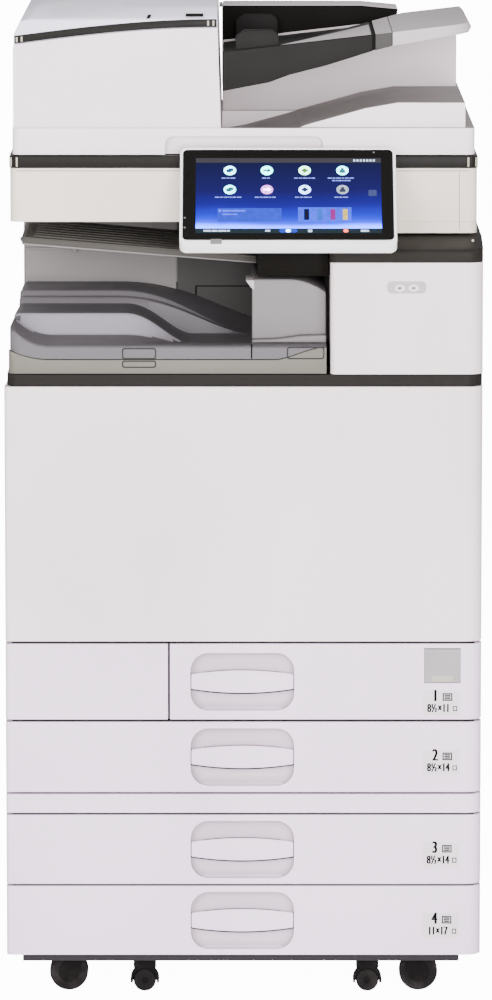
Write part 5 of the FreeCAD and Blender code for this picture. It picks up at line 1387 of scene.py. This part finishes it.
@dataclass
class OperationPanel:
    """Touch panel: white shell, black glass, picture, marks and lamps."""

    centre_x: float = 54.3
    edge_y: float = -342.5
    edge_z: float = 943.2
    lean: float = 47.3
    glass_face: float = 0.2
    picture: tuple[float, float, float, float] = (-112.6, 113.8, 19.5, 142.3)
    columns: tuple[float, ...] = (-71.0, -25.7, 20.4, 66.5)
    rows: tuple[float, ...] = (121.8, 90.4)
    mark_r: float = 7.5

    def place(self, piece: Solid) -> Solid:
        """Lean a piece drawn upright at the panel's lower edge.

        Args:
            piece: Piece that is worked on.

        Returns:
            The piece.
        """
        alone(piece)
        piece.rotation_euler[0] = -math.radians(self.lean)
        piece.location = Vector((self.centre_x, self.edge_y, self.edge_z)) * MM
        bpy.ops.object.transform_apply(location=True, rotation=True, scale=True)
        return piece

    def tile(self, x0: float, x1: float, z0: float, z1: float, height: float, radius: float = 0.0) -> Solid:
        """Thin plate on the glass, before it is leaned."""
        outline = rounded_rect(x0, x1, z0, z1, radius, 4) if radius else [(x0, z0), (x1, z0), (x1, z1),
                                                                          (x0, z1)]
        return drawn("tile", outline, Axis.Y, self.glass_face - height, self.glass_face + 0.1)

    def show(self, name: str, tiles: Sequence[Solid], finish: Finish | Stock) -> None:
        """Join tiles into one piece, lean it and finish it."""
        settle(self.place(joined(name, tiles)), "panel", finish)

    def build(self) -> None:
        """Shell, picture and every mark on it."""
        settle(refined("panel_shell", "panel_back_shell", 1.6, 4, 40), "panel", Stock.PANEL, "panel_shell",
               smooth=45)
        self.wallpaper()
        self.bars()
        self.marks()
        self.widgets()
        self.bezel_details()

    def wallpaper(self) -> None:
        """Lit picture of the display."""
        x0, x1, z0, z1 = self.picture
        turn = math.radians(self.lean)
        base = (self.edge_y * math.sin(turn) + self.edge_z * math.cos(turn)) * MM
        stops = ((0.0, (150, 205, 250)), (0.035, (104, 172, 250)), (0.085, (30, 85, 230)),
                 (0.14, (14, 46, 216)),
                 (0.21, (14, 30, 202)), (0.36, (32, 18, 160)), (0.57, (20, 12, 114)), (1.0, (8, 11, 76)))
        finish = Wallpaper("display_picture", (0, 0, 0), 0.25, self.lean, base + (z0 + 8) * MM,
                           base + (z1 - 8) * MM, stops)
        self.show("display_picture", [self.tile(x0, x1, z0 + 7.5, z1 - 7.5, 0.10)], finish)

    def bars(self) -> None:
        """Status bar above and task bar below the picture."""
        x0, x1, z0, z1 = self.picture
        grey = Glowing("bar_grey", (74, 72, 78), 0.3)
        dark = Glowing("bar_teal", (30, 52, 62), 0.3)
        self.show("display_status_bar", [self.tile(x0, x1, z1 - 7.5, z1, 0.1)], grey)
        self.show("display_task_bar", [self.tile(x0, x1, z0, z0 + 7.5, 0.1)], dark)
        z = z0 + 3.7
        pale = Glowing("mark_pale", (206, 214, 224), 0.3)
        words = [self.tile(a, a + w, z - 1.4, z + 1.4, 0.2) for a,
                 w in ((-103, 9), (-93, 7), (-85, 10), (-74, 3))]
        words += [self.tile(-28, -22, z - 1.2, z + 1.6, 0.2), self.tile(24, 29, z - 2, z + 2, 0.2),
                  self.tile(88, 98, z - 1.6, z + 1.6, 0.2)]
        words += [self.tile(80 + 4 * i, 82.4 + 4 * i, z1 - 5.6, z1 - 2.2, 0.2) for i in range(7)]
        self.show("display_small_marks", words, pale)
        self.show("display_home_glow", [self.tile(-11, 11, z - 3, z + 3, 0.15, 2.8)],
                  Glowing("glow_blue", (44, 92, 200), 0.3))
        self.show("display_home", [self.tile(-3, 3, z - 2.4, z + 2.4, 0.3, 2.3)],
                  Glowing("glow_white", (236, 246, 255), 0.3))
        self.show("display_stop", [self.tile(67, 73, z - 2.6, z + 2.6, 0.3, 2.5)],
                  Glowing("glow_orange", (240, 170, 120), 0.3))

    def marks(self) -> None:
        """Eight round function marks with label lines."""
        tones = [((222, 244, 246), (40, 100, 150)), ((200, 246, 246), (40, 140, 140)),
                 ((226, 244, 236), (120, 170, 90)),
                 ((206, 244, 246), (60, 150, 160)), ((206, 244, 246), (60, 140, 150)),
                 ((226, 196, 232), (250, 240, 252)),
                 ((224, 236, 246), (60, 80, 110)), ((190, 196, 206), (70, 76, 100))]
        labels = []
        for index, (face, glyph) in enumerate(tones):
            x = self.columns[index % 4]
            z = self.rows[index // 4]
            circle = arc((x, z), self.mark_r, 0, 350, 35)
            button = drawn("tile", circle, Axis.Y, self.glass_face - 0.35, self.glass_face + 0.1)
            self.show(f"display_mark_{index + 1}", [button], Glowing(f"mark_face_{index + 1}", face, 0.3))
            self.show(f"display_glyph_{index + 1}", self.glyph(index, x, z),
                      Glowing(f"glyph_{index + 1}", glyph, 0.3))
            width = (20, 12, 26, 36, 36, 30, 24, 20)[index]
            cursor = -width / 2
            for n, length in enumerate((5, 3.4, 6.2, 2.6, 4.4, 5.4, 3.2, 6)):
                if cursor + length > width / 2:
                    break
                labels.append(self.tile(x + cursor, x + cursor + length, z - 13.2, z - 11.7, 0.2))
                if index == 3:
                    labels.append(self.tile(x + cursor * 0.7, x + cursor * 0.7 + length * 0.7, z - 17.4,
                                            z - 15.6, 0.2))
                cursor += length + 1.0
        self.show("display_labels", labels, Glowing("label_white", (168, 180, 222), 0.3))

    def glyph(self, index: int, x: float, z: float) -> list[Solid]:
        """Small plain symbol on a mark: sheets, arrows, discs or bars by turns.

        Args:
            index: Number of the mark, from 0.
            x: Place from left to right, in millimetres.
            z: Height of its foot or middle, in millimetres.

        Returns:
            The solids.
        """
        kind = index % 4
        if kind == 0:
            return [self.tile(x - 4.2, x + 1.6, z - 3.2, z + 1.6, 0.5, 0.8),
                    self.tile(x - 1.6, x + 4.2, z - 1.2, z + 3.4, 0.6, 0.8)]
        if kind == 1:
            points = [(x - 4.6, z - 1.2), (x + 1, z - 1.2), (x + 1, z - 3.6), (x + 5, z), (x + 1, z + 3.6),
                      (x + 1, z + 1.2),
                      (x - 4.6, z + 1.2)]
            return [drawn("tile", points, Axis.Y, self.glass_face - 0.5, self.glass_face)]
        if kind == 2:
            points = [(x - 4.6, z), (x, z - 3.8), (x + 4.6, z), (x, z + 3.8)]
            return [drawn("tile", points, Axis.Y, self.glass_face - 0.5, self.glass_face)]
        return [self.tile(x - 3.6, x + 3.6, z - 4, z + 0.6, 0.5, 1.2),
                self.tile(x - 2, x + 2, z + 0.2, z + 4, 0.6, 1.4)]

    def widgets(self) -> None:
        """Message box and toner gauge near the foot of the picture."""
        message = Glowing("box_blue", (48, 84, 206), 0.3)
        gauge = Glowing("box_pale_blue", (72, 112, 220), 0.3)
        self.show("display_message", [self.tile(-86, -8, 38, 60, 0.14)], message)
        lines = [self.tile(-84.5, -82, 54, 58, 0.22), self.tile(-80, -52, 54.6, 57, 0.22),
                 self.tile(-80, -62, 49, 51, 0.22)]
        self.show("display_message_lines", lines, Glowing("line_blue", (120, 140, 226), 0.3))
        self.show("display_gauge", [self.tile(12, 77, 38, 61.5, 0.14)], gauge)
        for index, (x, tone) in enumerate(((22, (10, 12, 50)), (38, (40, 128, 206)), (54, (170, 40, 160)),
                                           (69, (206, 196, 130)))):
            bar = self.tile(x - 2.6, x + 3.4, 41, 58.5, 0.3, 0.6)
            self.show(f"display_toner_{index + 1}", [bar], Glowing(f"toner_tone_{index + 1}", tone, 0.3))
        self.show("display_page_tab", [self.tile(98, 108, 80, 90, 0.16, 1.2)],
                  Glowing("tab_grey_blue", (84, 96, 150), 0.3))

    def bezel_details(self) -> None:
        """Lamps, light sensor and the corner tab."""
        lamps = [self.tile(-127, -124.4, z - 1.3, z + 1.3, 0.25, 1.2) for z in (44.5, 28.5)]
        lamps.append(self.tile(104, 106.4, 150.6, 153, 0.25, 1.1))
        self.show("bezel_lamps", lamps, Glowing("lamp_grey", (150, 148, 144), 0.3))
        tab = drawn("tab", rounded_rect(-94.5, -80.5, 1.5, 9.6, 1.4), Axis.Y, -0.5, 1.0)
        self.show("panel_corner_tab", [softened(tab, 0.3, 2)], Stock.GREY)


@dataclass
class Feeder:
    """Document feeder: platen cover, closed body, lid, table and fences."""

    front: float = -203.0
    strip_h: float = 9.6
    table_rise: float = 35.5

    def build(self) -> None:
        """Every piece that lifts with the feeder."""
        settle(refined("adf_base", "platen_cover", 1.6, 3, 40), "feeder", Stock.FEEDER, "adf_base")
        cover = bpy.data.objects["platen_cover"]
        # painted shade: up-facing faces on the right-hand part of the cover, behind its front edge, get grey
        paint_faces(cover, Stock.RAMP, lambda c, n: c.z > 1052 and n.z > 0.3 and c.y > self.front + 14
                    and c.x > -26)
        # painted shade: the inner faces of the grip recess in the platen cover get grey
        paint_faces(cover, Stock.GREY, lambda c, n: abs(c.x) < 99 and c.z < 1066
                    and self.front + 0.6 < c.y < -188
                    and n.y > -0.6)
        self.rear_housing()
        settle(refined("adf_feeder_cover", "feeder_body", 3.0, 4, 40), "feeder", Stock.FEEDER,
               "adf_feeder_cover")
        self.lid()
        self.table()
        self.fences()

    def rear_housing(self) -> None:
        """Housing behind the table, dark where it looks over the originals."""
        low, high = span("adf_doc_tray")
        slope = Vector((-self.table_rise, 0, high.x - low.x)).normalized()
        rim = high.z - 8
        near_wall, top = span("adf_rear_housing")
        edge = near_wall.x
        side = drawn("feeder_side_wall", [(edge - 0.85, 1100), (edge - 0.2, 1100), (edge - 0.2, top.z - 1.5),
                                          (edge - 4.4, top.z - 1.5),
                                          (edge - 4.4, 1200), (edge - 0.85, 1200)], Axis.Y, high.y + 4,
                                          top.y - 4)
        settle(softened(side, 0.15, 2), "feeder", Stock.GREY)
        piece = refined("adf_rear_housing", "feeder_rear_housing", 2.0)
        with editing(piece):
            bpy.ops.mesh.bisect(plane_co=(high.x * MM, 0, rim * MM), plane_no=slope)
        settle(piece, "feeder", Stock.REAR, "adf_rear_housing")
        paint_faces(piece, Stock.BLACK, lambda c, n: n.y < -0.5
                    and (c - Vector((high.x, 0, rim))).dot(slope) > 0)

    def lid(self) -> None:
        """Curved lid with its dark strip, painted highlights at the strip's ends and two slots."""
        lid = refined("adf_top_cover", "feeder_lid_shell", 2.0, 4, 40)
        settle(lid, "feeder_lid", Stock.LID, "adf_top_cover", smooth=50)
        low, high = span("adf_top_cover")
        face = low.y
        steps = 16
        seam = []
        for i in range(steps + 1):
            u = i / steps
            seam.append((low.x + 1 + (high.x - low.x - 2) * u, 1177.2 + 20.4 * math.sin(u * math.pi / 2)))
        outline = seam + [(x, z + self.strip_h) for x, z in seam[::-1]]
        strip = drawn("lid_strip", outline, Axis.Y, face - 1.4, face + 3)
        settle(softened(strip, 0.9, 3, 60), "feeder_lid", Stock.BAND)
        # painted highlights: pale pins at the ends of the dark strip stand for its glossy rounded ends
        # catching the light
        end_highlights = []
        for x, z in ((seam[0][0] + 3, seam[0][1]), (seam[0][0] + 9, seam[0][1] + 0.8),
                     (seam[-1][0] - 10.5, seam[-1][1]), (seam[-1][0] - 4, seam[-1][1])):
            end_highlights.append(softened(block("clip", (x - 1.2, face - 2.0, z + 1.6),
                                        (x + 1.2, face, z + self.strip_h - 1.6)), 0.5, 2))
        settle(joined("lid_end_highlights", end_highlights), "feeder_lid", Stock.CLIP)
        slots = [drawn("slot", [(-119.5, 1208.0), (-115.5, 1208.0), (-113.0, 1212.2), (-117.0, 1212.2)],
                       Axis.Y, face - 0.6, face + 12),
                 block("slot", (-71, face - 0.6, 1210.4), (-49.5, face + 12, 1213.6))]
        settle(softened(joined("lid_slots", slots), 0.4, 2), "feeder_lid", Stock.BLACK)

    def table(self) -> None:
        """Document table in three lengths with a pale rim: painted light on the rim's up-facing top, and
        painted shadow in the gaps between the lengths.
        """
        whole = refined("adf_doc_tray", "document_table_whole", 0)
        cuts = [(-30, 158.6, "document_table_near", Stock.TABLE),
                (162.2, 182.6, "document_table_link", Stock.SHADE),
                (183.4, 290, "document_table_end", Stock.PALE)]
        for index, (x0, x1, name, stock) in enumerate(cuts):
            piece = moved_copy(whole, name, (0, 0, 0))
            trimmed(piece, (x0, 0, 0), (-1, 0, 0))
            trimmed(piece, (x1, 0, 0), (1, 0, 0))
            softened(piece, 1.2 if index < 2 else 4.0, 4, 35)
            settle(piece, "document_table", stock, *(("adf_doc_tray",) if index == 0 else ()), smooth=40)
        # painted shadow: a shrunken near-black copy shows in the gaps between the three lengths
        gap_shade = trimmed(trimmed(moved_copy(whole, "document_table_gap_shadow", (0, 0, 0)), (150, 0, 0), (-1, 0, 0)),
                       (192, 0, 0), (1, 0, 0))
        with editing(gap_shade):
            bpy.ops.transform.shrink_fatten(value=-0.9 * MM)
        settle(gap_shade, "document_table", Stock.SEAM)
        bpy.data.objects.remove(whole)
        # painted light: the link's up-facing faces get the pale finish
        paint_faces(bpy.data.objects["document_table_link"], Stock.PALE, lambda c, n: n.z > 0.7)
        self.ramp_plate()

    def ramp_plate(self) -> None:
        """Pale wedge laid on the table's front rim, which widens to the right: painted light on the rim's
        top.
        """
        low, high = span("adf_doc_tray")
        # painted light: a pale wedge on the rim's top
        wedge = drawn("document_table_lit_wedge", [(46, -187), (157, -187), (157, -4), (128, -60)], Axis.Z, 0, 3)
        for vertex in wedge.data.vertices:
            rise = self.table_rise * (vertex.co.x / MM - high.x) / (high.x - low.x)
            vertex.co.z += (high.z + rise - 2.2) * MM
        settle(softened(wedge, 0.6, 2), "document_table", Stock.PALE)

    def fences(self) -> None:
        """Two document fences with rounded shoulders."""
        for side in ("front", "rear"):
            low, high = span(f"doc_fence_{side}")
            outline = [(low.x, low.z), (high.x, low.z + 6.5)] + arc((high.x - 12, high.z - 12), 12, 0, 90, 6)
            outline += [(low.x + 10, high.z), (low.x, high.z - 8)]
            fence = drawn(f"document_fence_{side}", outline, Axis.Y, low.y, high.y)
            settle(softened(fence, 1.4, 3), f"fence_{side}", Stock.TABLE, f"doc_fence_{side}")


@dataclass
class Studio:
    """Pale floor, soft lamps and the camera."""

    lens: float = 236.8
    pitch: float = 7.934
    ambient: float = 0.75
    backdrop: float = 16.0

    def build(self) -> None:
        """Make the floor, the lights and the camera."""
        bpy.ops.object.select_all(action="DESELECT")
        bpy.ops.mesh.primitive_plane_add(size=60, location=(0, 0, 0))
        floor = named("studio_floor")
        floor.data.materials.append(Paper("floor_white", (240, 240, 240), 0.8).material())
        world = bpy.data.worlds.new("studio")
        bpy.context.scene.world = world
        world.use_nodes = True
        tree = world.node_tree
        back = tree.nodes["Background"]
        back.inputs["Color"].default_value = (1, 1, 1, 1)
        seen = tree.nodes.new("ShaderNodeLightPath").outputs["Is Camera Ray"]
        level = tree.nodes.new("ShaderNodeMapRange")
        level.inputs["To Min"].default_value = self.ambient
        level.inputs["To Max"].default_value = self.backdrop
        tree.links.new(seen, level.inputs["Value"])
        tree.links.new(level.outputs["Result"], back.inputs["Strength"])
        self.lamp("key_lamp", (-2.2, -6.5, 2.3), 2.6, 430)
        self.lamp("front_lamp", (1.0, -7.6, 1.3), 2.6, 900)
        self.lamp("top_lamp", (0.3, -1.2, 4.4), 2.2, 36)
        bpy.ops.object.camera_add(location=(0.003, -8.275, 1.737),
                                  rotation=(math.radians(90 - self.pitch), 0, 0))
        camera = bpy.context.active_object
        camera.data.sensor_width = 36
        camera.data.lens = self.lens
        camera.data.clip_end = 200
        bpy.context.scene.camera = camera

    @staticmethod
    def lamp(name: str, spot: Point, size: float, power: float) -> None:
        """Square soft lamp aimed at the middle of the machine.

        Args:
            name: Name of the piece.
            spot: Place of the lamp, in metres.
            size: Edge of the lamp, in metres.
            power: Power, in watts.
        """
        aim = (Vector((0, 0, 0.7)) - Vector(spot)).to_track_quat("-Z", "Y").to_euler()
        bpy.ops.object.light_add(type="AREA", location=spot, rotation=aim)
        light = bpy.context.active_object
        light.name = name
        light.data.size = size
        light.data.energy = power


def main() -> None:
    """Build every sub-assembly in order."""
    logging.basicConfig(level=logging.INFO, format="%(name)s: %(message)s")
    for assembly in (FrameNodes(), PaperDrawers(), Seams(), SwitchFlap(), RightBlock(), PaperExit(),
                     Scanner(), OperationPanel(),
                     Feeder(), Studio()):
        LOG.info("building %s", type(assembly).__name__)
        (assembly.dress if isinstance(assembly, FrameNodes) else assembly.build)()


if __name__ == "__main__":
    main()
